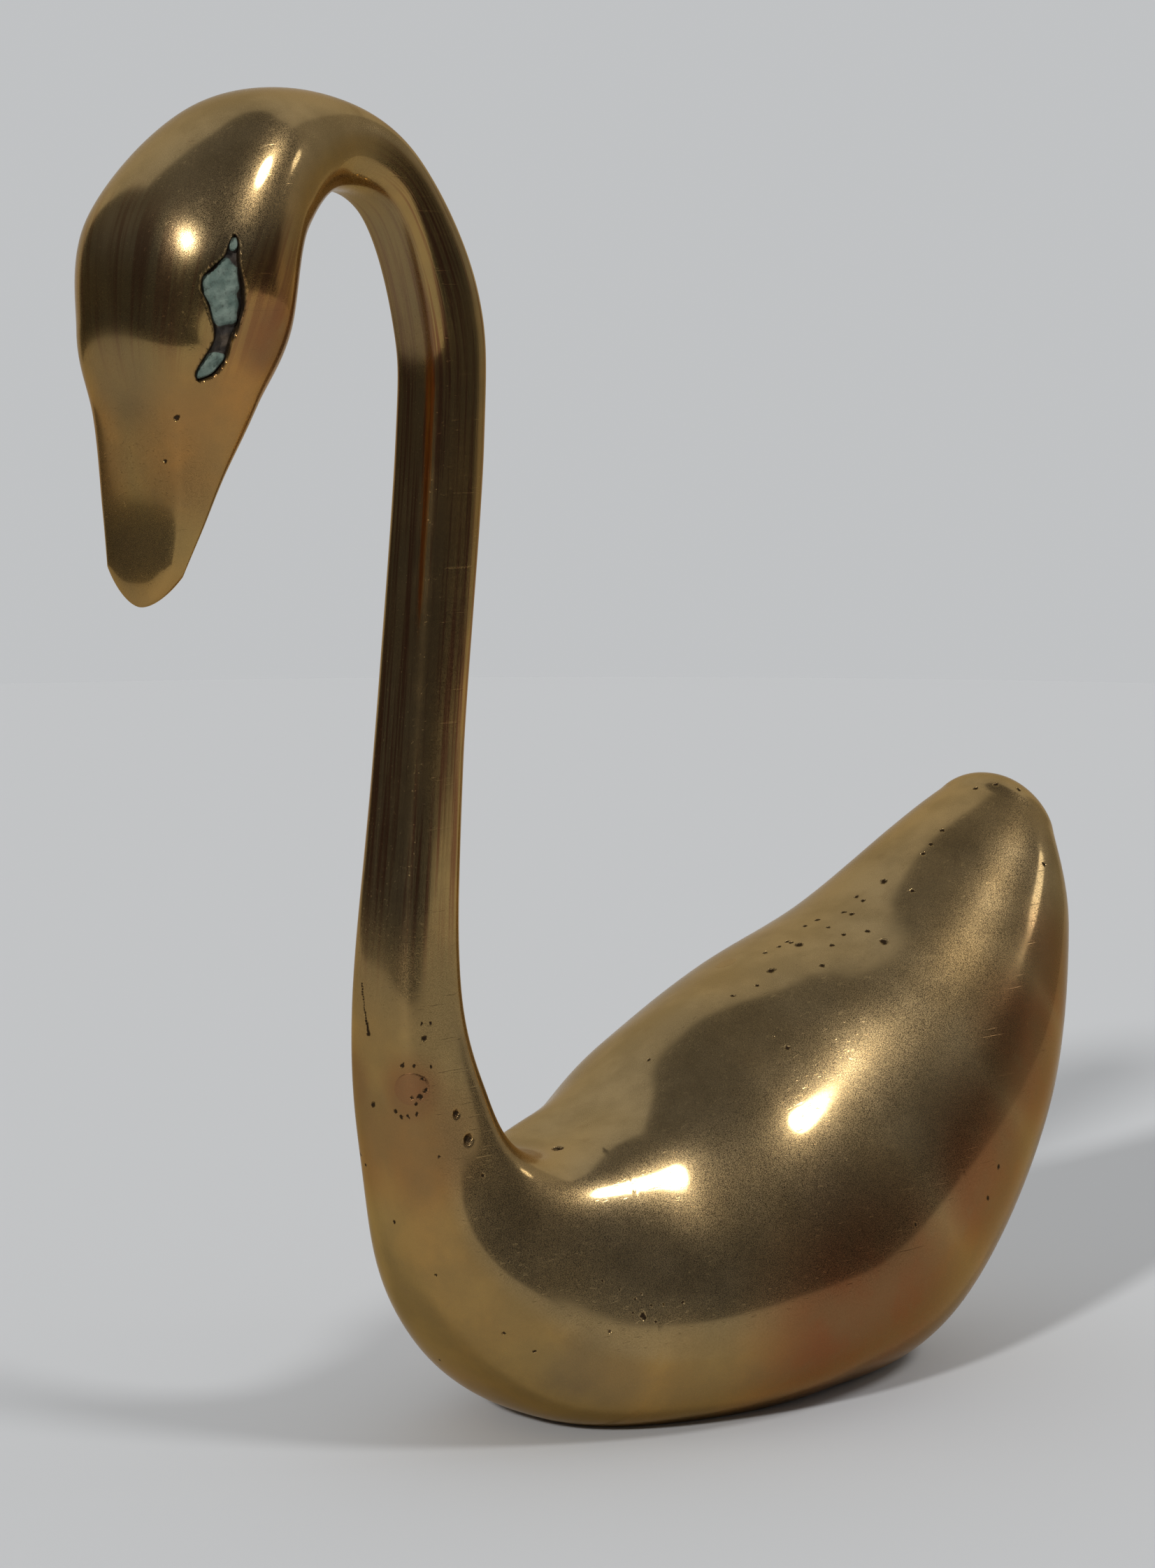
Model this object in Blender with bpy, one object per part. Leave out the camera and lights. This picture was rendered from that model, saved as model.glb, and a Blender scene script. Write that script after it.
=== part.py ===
"""Brass swan figurine: a hollow cast body, a bent neck bar and a cast head, pinned and filed flush.

The skin runs from the tail over the body, up the neck and round the hook to the bill. Each section
of it is drawn between a point on the back line and a point on the belly line, both in the plane
y = 0. The swan looks towards -X. Sizes are in millimetres, and meshes are in metres.
"""
import math
from dataclasses import dataclass

import bmesh
import bpy
import numpy as np
from mathutils import Vector

MILLIMETRE = 0.001


@dataclass(frozen=True)
class Section:
    """One cross section of the skin.

    back and belly are (x, z) points. widest is how far up from belly to back the section is at
    its widest. square_above and square_below shape the parts above and below it: 2 is an ellipse,
    less is more peaked, and more comes near a rounded rectangle.
    """

    back: tuple[float, float]
    belly: tuple[float, float]
    half_width: float
    widest: float
    square_above: float
    square_below: float


# Main sizes: half the width of the body, how far back the tail reaches and how high the straight neck goes
BODY_HALF_WIDTH = 22.77
TAIL_REACH = 68.6
NECK_TOP = 97.5

SECTIONS = {
    "tail": Section((TAIL_REACH - 8.8, 58.4), (TAIL_REACH, 50.3), BODY_HALF_WIDTH * 0.307, 0.50, 2.1, 2.1),
    "tail_root": Section((TAIL_REACH - 16.4, 54.8), (TAIL_REACH, 38.9),
                         BODY_HALF_WIDTH * 0.521, 0.49, 1.9, 2.0),
    "rump": Section((TAIL_REACH - 28.6, 48.0), (TAIL_REACH - 8.6, 19.3),
                    BODY_HALF_WIDTH * 0.775, 0.46, 2.0, 2.1),
    "loin": Section((26.0, 43.2), (43.0, -0.2), BODY_HALF_WIDTH * 0.954, 0.425, 2.05, 1.85),
    "middle": Section((13.5, 38.4), (22.0, -2.5), BODY_HALF_WIDTH, 0.35, 1.72, 1.97),
    "shoulder": Section((2.3, 29.8), (4.0, -1.8), BODY_HALF_WIDTH * 0.821, 0.33, 2.19, 1.97),
    "breast": Section((-5.8, 27.7), (-10.0, 2.4), BODY_HALF_WIDTH * 0.562, 0.35, 3.2, 2.45),
    "throat": Section((-11.7, 29.9), (-20.5, 13.0), 8.97, 0.44, 3.15, 2.8),
    "neck_root": Section((-15.4, 35.7), (-25.7, 27.5), 6.7, 0.50, 3.2, 3.2),
    "neck_low": Section((-18.5, 46.5), (-26.9, 43.5), 4.95, 0.50, 4.0, 4.0),
    "neck_mid": Section((-17.6, 67.5), (-24.6, 66.5), 4.0, 0.50, 4.4, 4.4),
    "neck_high": Section((-14.5, NECK_TOP), (-21.7, NECK_TOP), 3.6, 0.50, 4.4, 4.4),
    "hook_rise": Section((-15.3, NECK_TOP + 14.6), (-21.9, NECK_TOP + 11.0), 3.6, 0.50, 4.2, 4.2),
    "hook_top": Section((-22.9, NECK_TOP + 26.8), (-25.8, NECK_TOP + 21.2), 3.8, 0.50, 3.4, 3.4),
    "nape": Section((-33.0, NECK_TOP + 31.9), (-32.8, NECK_TOP + 23.0), 5.4, 0.50, 2.4, 2.4),
    "crown": Section((-44.8, NECK_TOP + 31.0), (-38.8, NECK_TOP + 17.3), 9.2, 0.54, 2.1, 2.1),
    "brow": Section((-55.0, NECK_TOP + 22.0), (-40.7, NECK_TOP + 8.8), 11.2, 0.53, 2.1, 2.1),
    "cheek": Section((-56.7, NECK_TOP + 11.8), (-44.4, NECK_TOP + 3.2), 9.4, 0.48, 2.4, 2.4),
    "bill_root": Section((-55.2, NECK_TOP + 4.0), (-47.5, NECK_TOP - 2.0), 7.0, 0.50, 3.2, 3.2),
    "bill": Section((-54.3, NECK_TOP - 4.5), (-50.4, NECK_TOP - 7.0), 6.0, 0.50, 3.6, 3.6),
    "bill_end": Section((-54.3, NECK_TOP - 10.0), (-52.2, NECK_TOP - 11.0), 4.9, 0.50, 3.4, 3.4),
}
SECTION_NAMES = list(SECTIONS)

# Rounded ends of the skin
TAIL_ROUNDING = 4.0
BILL_ROUNDING = 3.2

# Gap kept between pieces that fit together
CLEARANCE = 0.3

# Hollow of the body and the hole that the casting core left in its base. The core's two ends are
# places along the skin, counted in sections past the named ones
WALL = 3.2
CORE_ROUNDING = 2.5
CORE_PAST_TAIL_ROOT = 0.6
CORE_PAST_BREAST = 0.2
BASE_HOLE_CENTRE_X = 18.0
BASE_HOLE_LENGTH = 34.0
BASE_HOLE_WIDTH = 14.0

# Square tenons at the two ends of the neck bar
TENON_SQUARENESS = 8.0
FOOT_TENON_WIDTH = 6.0
FOOT_TENON_DEPTH = 5.4
FOOT_TENON_LENGTH = 14.0
HEAD_TENON_WIDTH = 5.0
HEAD_TENON_DEPTH = 4.6
HEAD_TENON_LENGTH = 8.0

# Pin through the front left edge of the neck root and the foot tenon, filed flush. Its place is
# counted in sections past the neck root, and its turn goes round the section from the right side
PIN_DIAMETER = 3.4
PIN_LENGTH = 11.0
PIN_PAST_NECK_ROOT = 0.615
PIN_TURN = math.radians(227.75)
PIN_AXIS = (-0.78, -0.62, 0.0)

# Plug in the hole that a core support left in the back, filed flush, placed in the same way
PLUG_DIAMETER = 2.6
PLUG_PAST_LOIN = 0.135
PLUG_TURN = math.radians(82.75)
PLUG_AXIS = (-0.36, 0.08, 0.93)

# Eye hollows and their fill, given for the left eye
EYE_CENTRE = (-52.2, -10.0, NECK_TOP + 12.6)
EYE_AXIS = (-0.50, -0.86, -0.08)
EYE_LENGTH = 12.6
EYE_WIDTH = 3.8
EYE_TAPER = 0.25
EYE_LEAN = 0.16
EYE_DEPTH = 1.6

# Fineness of the meshes
STEPS_PER_SECTION = 6
STEPS_AROUND = 36
STEPS_PER_ROUNDING = 5
STEPS_AROUND_HOLE = 24
TAPER_STEP = 0.1
TIP_SHARE = 0.06
SHARP_EDGE = math.radians(50)

# How far a cutter reaches past the face that it opens
CUTTER_REACH = 4.0

BRASS_COLOUR = (0.50, 0.34, 0.13, 1.0)
PIN_COLOUR = (0.45, 0.27, 0.14, 1.0)
EYE_FILL_COLOUR = (0.22, 0.33, 0.31, 1.0)


def station(name):
    """Return the place along the skin of a named section."""
    return float(SECTION_NAMES.index(name))


def smooth(points, place):
    """Read a smooth curve through evenly numbered points at each place along it."""
    last = len(points) - 1
    start = np.clip(np.floor(place).astype(int), 0, last - 1)
    step = (place - start)[:, None]
    here = points[start]
    there = points[start + 1]
    before = np.where((start > 0)[:, None], points[np.maximum(start - 1, 0)], 2 * here - there)
    after = np.where((start < last - 1)[:, None], points[np.minimum(start + 2, last)], 2 * there - here)
    linear = there - before
    square = 2 * before - 5 * here + 4 * there - after
    cube = 3 * here - before - 3 * there + after
    return 0.5 * (2 * here + linear * step + square * step**2 + cube * step**3)


def section_values(places):
    """Return the eight section values at places along the skin: back, belly, then the numbers."""
    rows = []
    for section in SECTIONS.values():
        numbers = [section.half_width, section.widest, section.square_above, section.square_below]
        rows.append([*section.back, *section.belly, *numbers])
    return smooth(np.array(rows), np.asarray(places, dtype=float))


def middle_point(place):
    """Return the middle of the section at a place, as an (x, y, z) array."""
    values = section_values([place])[0]
    return np.array([(values[0] + values[2]) / 2, 0.0, (values[1] + values[3]) / 2])


def spine_direction(place):
    """Return the unit direction of the skin's middle line, from tail to bill."""
    along = middle_point(place + TAPER_STEP / 2) - middle_point(place - TAPER_STEP / 2)
    return along / np.linalg.norm(along)


def ring_points(values, angle):
    """Return the points of one section at angles round it."""
    back = np.array([values[0], values[1]])
    belly = np.array([values[2], values[3]])
    power = 2.0 / np.where(np.sin(angle) > 0, values[6], values[7])
    side = np.sign(np.cos(angle)) * np.abs(np.cos(angle)) ** power
    height = np.sign(np.sin(angle)) * np.abs(np.sin(angle)) ** power
    widest = values[5]
    share = np.where(height > 0, widest + height * (1 - widest), widest + height * widest)
    plane = belly + share[:, None] * (back - belly)
    return np.stack([plane[:, 0], values[4] * side, plane[:, 1]], axis=1)


def ring(values, count):
    """Return the points round one section, evenly spaced in angle."""
    return ring_points(values, np.linspace(0.0, 2 * math.pi, count, endpoint=False))


def pin_mouth():
    """Return the point where the pin's axis meets the skin."""
    values = section_values([station("neck_root") + PIN_PAST_NECK_ROOT])[0]
    return ring_points(values, np.array([PIN_TURN]))[0]


def plug_mouth():
    """Return the point where the plug's axis meets the skin."""
    values = section_values([station("loin") + PLUG_PAST_LOIN])[0]
    return ring_points(values, np.array([PLUG_TURN]))[0]


def rings_between(first, last):
    """Return the skin's rings from one place to another."""
    steps = max(2, round(abs(last - first) * STEPS_PER_SECTION))
    return [ring(values, STEPS_AROUND) for values in section_values(np.linspace(first, last, steps + 1))]


def rounding(end_ring, inner_ring, outward, length):
    """Return the rings that close an end as part of an ellipse that carries on the skin's taper."""
    centre = end_ring.mean(axis=0)
    inner_centre = inner_ring.mean(axis=0)
    radius = np.linalg.norm(end_ring - centre, axis=1).mean()
    inner_radius = np.linalg.norm(inner_ring - inner_centre, axis=1).mean()
    taper = max((inner_radius - radius) / np.linalg.norm(inner_centre - centre), 0.0)
    start = math.atan(taper * length / radius)
    rings = []
    for angle in np.linspace(start, math.pi / 2, STEPS_PER_ROUNDING + 1)[1:]:
        size = max(math.cos(angle) / math.cos(start), TIP_SHARE)
        reach = (math.sin(angle) - math.sin(start)) / (1 - math.sin(start))
        rings.append(centre + (end_ring - centre) * size + outward * length * reach)
    return rings


def tail_rings():
    """Return the rings of the tail's rounded end, from the tip inwards."""
    inner, first = rings_between(TAPER_STEP, 0.0)[::2]
    return rounding(first, inner, -spine_direction(TAPER_STEP / 2), TAIL_ROUNDING)[::-1]


def bill_rings():
    """Return the rings of the bill's rounded end, from the bill outwards."""
    end = station("bill_end")
    inner, last = rings_between(end - TAPER_STEP, end)[::2]
    return rounding(last, inner, spine_direction(end - TAPER_STEP / 2), BILL_ROUNDING)


def tenon_rings(place, width, depth, length, outward):
    """Return the root and end rings of a square tenon that stands on the section at a place."""
    values = section_values([place])[0]
    upward = np.array([values[0] - values[2], 0.0, values[1] - values[3]])
    upward /= np.linalg.norm(upward)
    centre = middle_point(place)
    back = centre + upward * depth / 2
    belly = centre - upward * depth / 2
    shape = [width / 2, 0.5, TENON_SQUARENESS, TENON_SQUARENESS]
    root = ring([back[0], back[2], belly[0], belly[2], *shape], STEPS_AROUND)
    return [root, root + outward * length]


def shifted_place(place, gap):
    """Return the place whose section lies a gap past the given one on its nearer rail."""
    ahead = section_values([place + TAPER_STEP / 2])[0]
    behind = section_values([place - TAPER_STEP / 2])[0]
    back_speed = np.linalg.norm(ahead[0:2] - behind[0:2]) / TAPER_STEP
    belly_speed = np.linalg.norm(ahead[2:4] - behind[2:4]) / TAPER_STEP
    return place + gap / min(back_speed, belly_speed)


def core_rings():
    """Return the rings of the casting core, a wall thickness inside the skin of the body."""
    first = station("tail_root") + CORE_PAST_TAIL_ROOT
    last = station("breast") + CORE_PAST_BREAST
    steps = round((last - first) * STEPS_PER_SECTION)
    rings = []
    for values in section_values(np.linspace(first, last, steps + 1)):
        inward = values[2:4] - values[0:2]
        inward /= np.linalg.norm(inward)
        inner = values.copy()
        inner[0:2] += inward * WALL
        inner[2:4] -= inward * WALL
        inner[3] = max(inner[3], WALL)
        inner[4] -= WALL
        rings.append(ring(inner, STEPS_AROUND_HOLE))
    front = rounding(rings[-1], rings[-2], spine_direction(last), CORE_ROUNDING)
    rear = rounding(rings[0], rings[1], -spine_direction(first), CORE_ROUNDING)
    return rear[::-1] + rings + front


def cylinder_rings(mouth, axis, diameter, inside, outside):
    """Return the two end rings of a cylinder that crosses the skin at its mouth."""
    outward = np.array(axis) / np.linalg.norm(axis)
    across = np.cross(outward, (0.0, 1.0, 0.0) if abs(outward[1]) < 0.9 else (1.0, 0.0, 0.0))
    across /= np.linalg.norm(across)
    other = np.cross(outward, across)
    angle = np.linspace(0.0, 2 * math.pi, STEPS_AROUND_HOLE, endpoint=False)[:, None]
    circle = (np.cos(angle) * across + np.sin(angle) * other) * diameter / 2
    centre = np.array(mouth)
    return [centre - outward * inside + circle, centre + outward * outside + circle]


def eye_rings(side, trim, inside, outside):
    """Return the end rings of an egg-shaped prism over an eye. side is -1 left, 1 right."""
    flip = np.array([1.0, -side, 1.0])
    outward = np.array(EYE_AXIS) / np.linalg.norm(EYE_AXIS)
    down = np.array([-EYE_LEAN, 0.0, -1.0])
    down -= outward * (down @ outward)
    down /= np.linalg.norm(down)
    across = np.cross(outward, down)
    angle = np.linspace(0.0, 2 * math.pi, STEPS_AROUND_HOLE, endpoint=False)[:, None]
    long_half = EYE_LENGTH / 2 - trim
    wide_half = EYE_WIDTH / 2 - trim
    egg = np.cos(angle) * long_half * down
    egg = egg + np.sin(angle) * wide_half * (1 - EYE_TAPER * np.cos(angle)) * across
    centre = np.array(EYE_CENTRE)
    return [(centre - outward * inside + egg) * flip, (centre + outward * outside + egg) * flip]


def metal(name, colour, roughness, metallic):
    """Make a plain material."""
    material = bpy.data.materials.new(name)
    material.use_nodes = True
    shader = material.node_tree.nodes["Principled BSDF"]
    shader.inputs["Base Color"].default_value = colour
    shader.inputs["Roughness"].default_value = roughness
    shader.inputs["Metallic"].default_value = metallic
    return material


def solid(name, rings, material, parent):
    """Join rings of equal counts into one closed object and shade it smooth."""
    work = bmesh.new()
    loops = [[work.verts.new(Vector(point) * MILLIMETRE) for point in points] for points in rings]
    for here, there in zip(loops, loops[1:]):
        for index in range(len(here)):
            after = (index + 1) % len(here)
            work.faces.new((here[index], here[after], there[after], there[index]))
    work.faces.new(loops[0])
    work.faces.new(loops[-1])
    bmesh.ops.recalc_face_normals(work, faces=work.faces)
    mesh = bpy.data.meshes.new(name)
    work.to_mesh(mesh)
    work.free()
    mesh.shade_smooth()
    mesh.set_sharp_from_angle(angle=SHARP_EDGE)
    mesh.materials.append(material)
    result = bpy.data.objects.new(name, mesh)
    bpy.context.scene.collection.objects.link(result)
    result.parent = parent
    return result


def cutter(name, rings, material, parent):
    """Make a solid that only shapes others."""
    result = solid(name, rings, material, parent)
    result.hide_render = True
    result.display_type = "WIRE"
    return result


def combine(target, tool, operation):
    """Add an exact Boolean of a cutter to an object."""
    modifier = target.modifiers.new(f"{operation.lower()}_{tool.name}", "BOOLEAN")
    modifier.operation = operation
    modifier.solver = "EXACT"
    modifier.object = tool


def cut_flat_base(body):
    """Cut the body level with the surface that it stands on and close the cut."""
    work = bmesh.new()
    work.from_mesh(body.data)
    everything = work.verts[:] + work.edges[:] + work.faces[:]
    bmesh.ops.bisect_plane(work, geom=everything, plane_co=(0, 0, 0), plane_no=(0, 0, 1), clear_inner=True)
    rim = [edge for edge in work.edges if edge.is_boundary]
    bmesh.ops.edgeloop_fill(work, edges=rim)
    bmesh.ops.recalc_face_normals(work, faces=work.faces)
    work.to_mesh(body.data)
    work.free()
    body.data.shade_smooth()
    body.data.set_sharp_from_angle(angle=SHARP_EDGE)


def base_hole_rings(top):
    """Return the end rings of the oval hole in the base."""
    angle = np.linspace(0.0, 2 * math.pi, STEPS_AROUND_HOLE, endpoint=False)
    x = BASE_HOLE_CENTRE_X + BASE_HOLE_LENGTH / 2 * np.cos(angle)
    y = BASE_HOLE_WIDTH / 2 * np.sin(angle)
    low = np.stack([x, y, np.full_like(x, -CUTTER_REACH)], axis=1)
    return [low, low + np.array([0.0, 0.0, CUTTER_REACH + top])]


def make_body(brass, parent, drill_tools):
    """Make the hollow body with its neck socket, base hole and drilled holes."""
    joint = station("neck_low")
    inward = -spine_direction(joint)
    socket = tenon_rings(joint, FOOT_TENON_WIDTH + 2 * CLEARANCE, FOOT_TENON_DEPTH + 2 * CLEARANCE,
                         FOOT_TENON_LENGTH + CLEARANCE, inward)
    body = solid("body_shell", tail_rings() + rings_between(0.0, joint) + socket, brass, parent)
    cut_flat_base(body)
    combine(body, cutter("body_core", core_rings(), brass, parent), "DIFFERENCE")
    combine(body, cutter("base_hole", base_hole_rings(WALL + CUTTER_REACH), brass, parent), "DIFFERENCE")
    for tool in drill_tools:
        combine(body, tool, "DIFFERENCE")


def make_neck(brass, parent, pin_drill):
    """Make the neck bar with a tenon at each end."""
    foot = shifted_place(station("neck_low"), CLEARANCE)
    nape = station("nape")
    foot_tenon = tenon_rings(foot, FOOT_TENON_WIDTH, FOOT_TENON_DEPTH, FOOT_TENON_LENGTH + CLEARANCE / 2,
                             -spine_direction(station("neck_low")))
    head_tenon = tenon_rings(nape, HEAD_TENON_WIDTH, HEAD_TENON_DEPTH, HEAD_TENON_LENGTH,
                             spine_direction(nape))
    neck = solid("neck_bar", foot_tenon[::-1] + rings_between(foot, nape) + head_tenon, brass, parent)
    combine(neck, pin_drill, "DIFFERENCE")


def make_head(brass, parent):
    """Make the head and bill with the neck's socket and the two eye hollows."""
    nape = shifted_place(station("nape"), CLEARANCE)
    socket = tenon_rings(nape, HEAD_TENON_WIDTH + 2 * CLEARANCE, HEAD_TENON_DEPTH + 2 * CLEARANCE,
                         HEAD_TENON_LENGTH + CLEARANCE, spine_direction(station("nape")))
    rings = socket[::-1] + rings_between(nape, station("bill_end")) + bill_rings()
    head = solid("head", rings, brass, parent)
    for side, name in ((-1, "left"), (1, "right")):
        hollow = cutter(f"{name}_eye_hollow", eye_rings(side, 0.0, EYE_DEPTH, CUTTER_REACH), brass, parent)
        combine(head, hollow, "DIFFERENCE")


def make_flush_pieces(skin, pin_metal, eye_fill, brass, parent):
    """Make the pin, the plug and the eye fills, each ending in the skin's own surface."""
    pin = solid("neck_pin", cylinder_rings(pin_mouth(), PIN_AXIS, PIN_DIAMETER, PIN_LENGTH, CUTTER_REACH),
                pin_metal, parent)
    plug = solid("back_plug", cylinder_rings(plug_mouth(), PLUG_AXIS, PLUG_DIAMETER, WALL, CUTTER_REACH),
                 brass, parent)
    pieces = [pin, plug]
    for side, name in ((-1, "left"), (1, "right")):
        rings = eye_rings(side, CLEARANCE, EYE_DEPTH - CLEARANCE, CUTTER_REACH)
        pieces.append(solid(f"{name}_eye_fill", rings, eye_fill, parent))
    for piece in pieces:
        combine(piece, skin, "INTERSECT")


def main():
    """Build the swan with its origin on the base, under the middle of its outline."""
    for old in list(bpy.data.objects):
        bpy.data.objects.remove(old, do_unlink=True)

    brass = metal("brass", BRASS_COLOUR, 0.25, 1.0)
    pin_metal = metal("pin_brass", PIN_COLOUR, 0.3, 1.0)
    eye_fill = metal("eye_fill", EYE_FILL_COLOUR, 0.85, 0.0)

    joint = station("neck_low")
    nape = station("nape")
    skin_rings = tail_rings() + rings_between(0.0, joint) + rings_between(joint, nape)[1:]
    skin_rings += rings_between(nape, station("bill_end"))[1:] + bill_rings()
    x_values = np.concatenate([points[:, 0] for points in skin_rings])

    swan = bpy.data.objects.new("swan", None)
    bpy.context.scene.collection.objects.link(swan)
    swan.location.x = -(x_values.min() + x_values.max()) / 2 * MILLIMETRE

    skin = cutter("skin", skin_rings, brass, swan)
    pin_bore = PIN_DIAMETER + 2 * CLEARANCE
    plug_bore = PLUG_DIAMETER + 2 * CLEARANCE
    pin_hole = cylinder_rings(pin_mouth(), PIN_AXIS, pin_bore, PIN_LENGTH + CLEARANCE, CUTTER_REACH)
    plug_hole = cylinder_rings(plug_mouth(), PLUG_AXIS, plug_bore, WALL + CUTTER_REACH, CUTTER_REACH)
    pin_drill = cutter("pin_drill", pin_hole, brass, swan)
    plug_drill = cutter("plug_drill", plug_hole, brass, swan)

    make_body(brass, swan, [pin_drill, plug_drill])
    make_neck(brass, swan, pin_drill)
    make_head(brass, swan)
    make_flush_pieces(skin, pin_metal, eye_fill, brass, swan)
    bpy.context.view_layer.update()


main()
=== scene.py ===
"""Brass swan figurine: its finished skins, finishes, stage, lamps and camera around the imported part."""

import logging
import math
from dataclasses import astuple, dataclass, field
from enum import Enum

import bpy
import numpy as np
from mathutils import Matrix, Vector


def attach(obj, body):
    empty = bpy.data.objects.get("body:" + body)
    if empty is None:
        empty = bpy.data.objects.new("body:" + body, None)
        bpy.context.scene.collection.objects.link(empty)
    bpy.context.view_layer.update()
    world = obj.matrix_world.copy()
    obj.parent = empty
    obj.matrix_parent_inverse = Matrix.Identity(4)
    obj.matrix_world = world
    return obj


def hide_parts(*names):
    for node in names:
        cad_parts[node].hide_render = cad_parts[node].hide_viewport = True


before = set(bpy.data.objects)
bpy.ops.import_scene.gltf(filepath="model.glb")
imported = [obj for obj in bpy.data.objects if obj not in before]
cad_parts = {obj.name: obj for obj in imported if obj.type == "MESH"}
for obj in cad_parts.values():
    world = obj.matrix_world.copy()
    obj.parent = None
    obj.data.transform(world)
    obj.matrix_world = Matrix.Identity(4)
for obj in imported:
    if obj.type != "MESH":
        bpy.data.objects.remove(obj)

LOG = logging.getLogger("swan")
MM = 0.001
Triple = tuple[float, float, float]
Colour = tuple[float, float, float, float]
Socket = bpy.types.NodeSocket
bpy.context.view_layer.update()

# How far from a joint its two nearest rows lie, counted in sections
JOINT_ROWS = np.array([0.0015, 0.0030])


class Half(Enum):
    """The side of the swan that a paired piece sits on, as a sign along Y."""

    LEFT = 1
    RIGHT = -1


class Grade(Enum):
    """How worn a brass surface is, as a share of its marks."""

    SKIN = 1.0
    PIN = 0.6


class Tint(Enum):
    """The colours of the brass, of its marks and of the crust in the eyes; ochre and amber also serve as
    painted shade on faces that turn down, and red brown as painted reflected shade on the lower and rear
    flank.
    """

    OLIVE = (0.480, 0.345, 0.170, 1.0)
    GOLD = (0.535, 0.362, 0.158, 1.0)
    # Ochre and amber are the tint of faces that turn down, a painted shade
    OCHRE = (0.400, 0.262, 0.092, 1.0)
    AMBER = (0.450, 0.256, 0.080, 1.0)
    ORANGE = (0.490, 0.240, 0.070, 1.0)
    # Red brown is tarnish, and on the lower and rear flank a painted reflected shade
    RED_BROWN = (0.280, 0.112, 0.044, 1.0)
    CLOUD = (0.235, 0.160, 0.070, 1.0)
    MOTTLE = (0.30, 0.19, 0.085, 1.0)
    PIT = (0.045, 0.028, 0.016, 1.0)
    EYE_HOLLOW = (0.050, 0.034, 0.022, 1.0)
    STREAK = (0.235, 0.095, 0.043, 1.0)
    PATINA = (0.200, 0.150, 0.085, 1.0)
    CRUST = (0.085, 0.125, 0.100, 1.0)
    PALE_CRUST = (0.165, 0.210, 0.170, 1.0)
    CRUST_GRAIN = (0.045, 0.060, 0.045, 1.0)
    EYE_BED = (0.030, 0.022, 0.016, 1.0)
    PALE_EYE_BED = (0.075, 0.052, 0.032, 1.0)


@dataclass(frozen=True)
class Section:
    """One cross-section of the swan in millimetres: its two rail points and its ring's shape.

    Attributes:
        back_x: where the back rail lies along the swan.
        back_z: the height of the back rail.
        belly_x: where the belly rail lies along the swan.
        belly_z: the height of the belly rail.
        half_width: half the width of the ring.
        widest: where the ring is widest, as a share of the way from the belly to the back.
        square_above: how square the ring is above its widest line.
        square_below: how square it is below.
    """

    back_x: float
    back_z: float
    belly_x: float
    belly_z: float
    half_width: float
    widest: float
    square_above: float
    square_below: float


@dataclass(frozen=True)
class Pit:
    """A casting pit in the skin, in millimetres.

    Attributes:
        x: its place along the swan.
        y: its place across the swan.
        z: its height.
        radius: its radius.
    """

    x: float
    y: float
    z: float
    radius: float


SECTIONS = {
    "tail": Section(59.8, 58.4, 68.6, 50.3, 6.99, 0.5, 2.1, 2.1),
    "tail_root": Section(52.2, 54.8, 68.6, 38.9, 11.86, 0.49, 1.9, 2.0),
    "rump": Section(40.0, 48.0, 60.0, 19.3, 17.65, 0.46, 2.0, 2.1),
    "loin": Section(26.0, 43.2, 43.0, -0.2, 21.72, 0.425, 2.05, 1.85),
    "middle": Section(13.5, 38.4, 22.0, -2.5, 22.77, 0.35, 1.72, 1.97),
    "shoulder": Section(2.3, 29.8, 4.0, -1.8, 18.69, 0.33, 2.19, 1.97),
    "breast": Section(-5.8, 27.7, -10.0, 2.4, 12.8, 0.35, 3.2, 2.45),
    "throat": Section(-11.7, 29.9, -20.5, 13.0, 8.97, 0.44, 3.15, 2.8),
    "neck_root": Section(-15.4, 35.7, -25.7, 27.5, 6.7, 0.5, 3.2, 3.2),
    "neck_low": Section(-18.5, 46.5, -26.9, 43.5, 4.95, 0.5, 3.4, 3.4),
    "neck_mid": Section(-17.5, 67.5, -24.7, 66.5, 4.15, 0.5, 3.1, 3.1),
    "neck_high": Section(-14.4, 97.5, -21.8, 97.5, 3.75, 0.5, 3.1, 3.1),
    "hook_rise": Section(-15.2, 112.1, -22.0, 108.5, 3.7, 0.5, 3.2, 3.2),
    "hook_top": Section(-22.9, 124.3, -25.8, 118.7, 3.8, 0.5, 3.4, 3.4),
    "nape": Section(-33.0, 129.4, -32.8, 120.5, 5.4, 0.5, 2.4, 2.4),
    "crown": Section(-44.8, 128.5, -38.8, 114.8, 9.2, 0.54, 2.1, 2.1),
    "brow": Section(-55.0, 119.5, -40.7, 106.3, 11.2, 0.53, 2.1, 2.1),
    "cheek": Section(-56.7, 109.3, -44.4, 100.7, 9.4, 0.48, 2.4, 2.4),
    "bill_root": Section(-55.2, 101.5, -47.5, 95.5, 7.0, 0.5, 3.2, 3.2),
    "bill": Section(-54.3, 93.0, -50.4, 90.5, 6.0, 0.5, 3.6, 3.6),
    "bill_end": Section(-54.3, 87.5, -52.2, 86.5, 4.9, 0.5, 3.4, 3.4),
}

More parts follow.
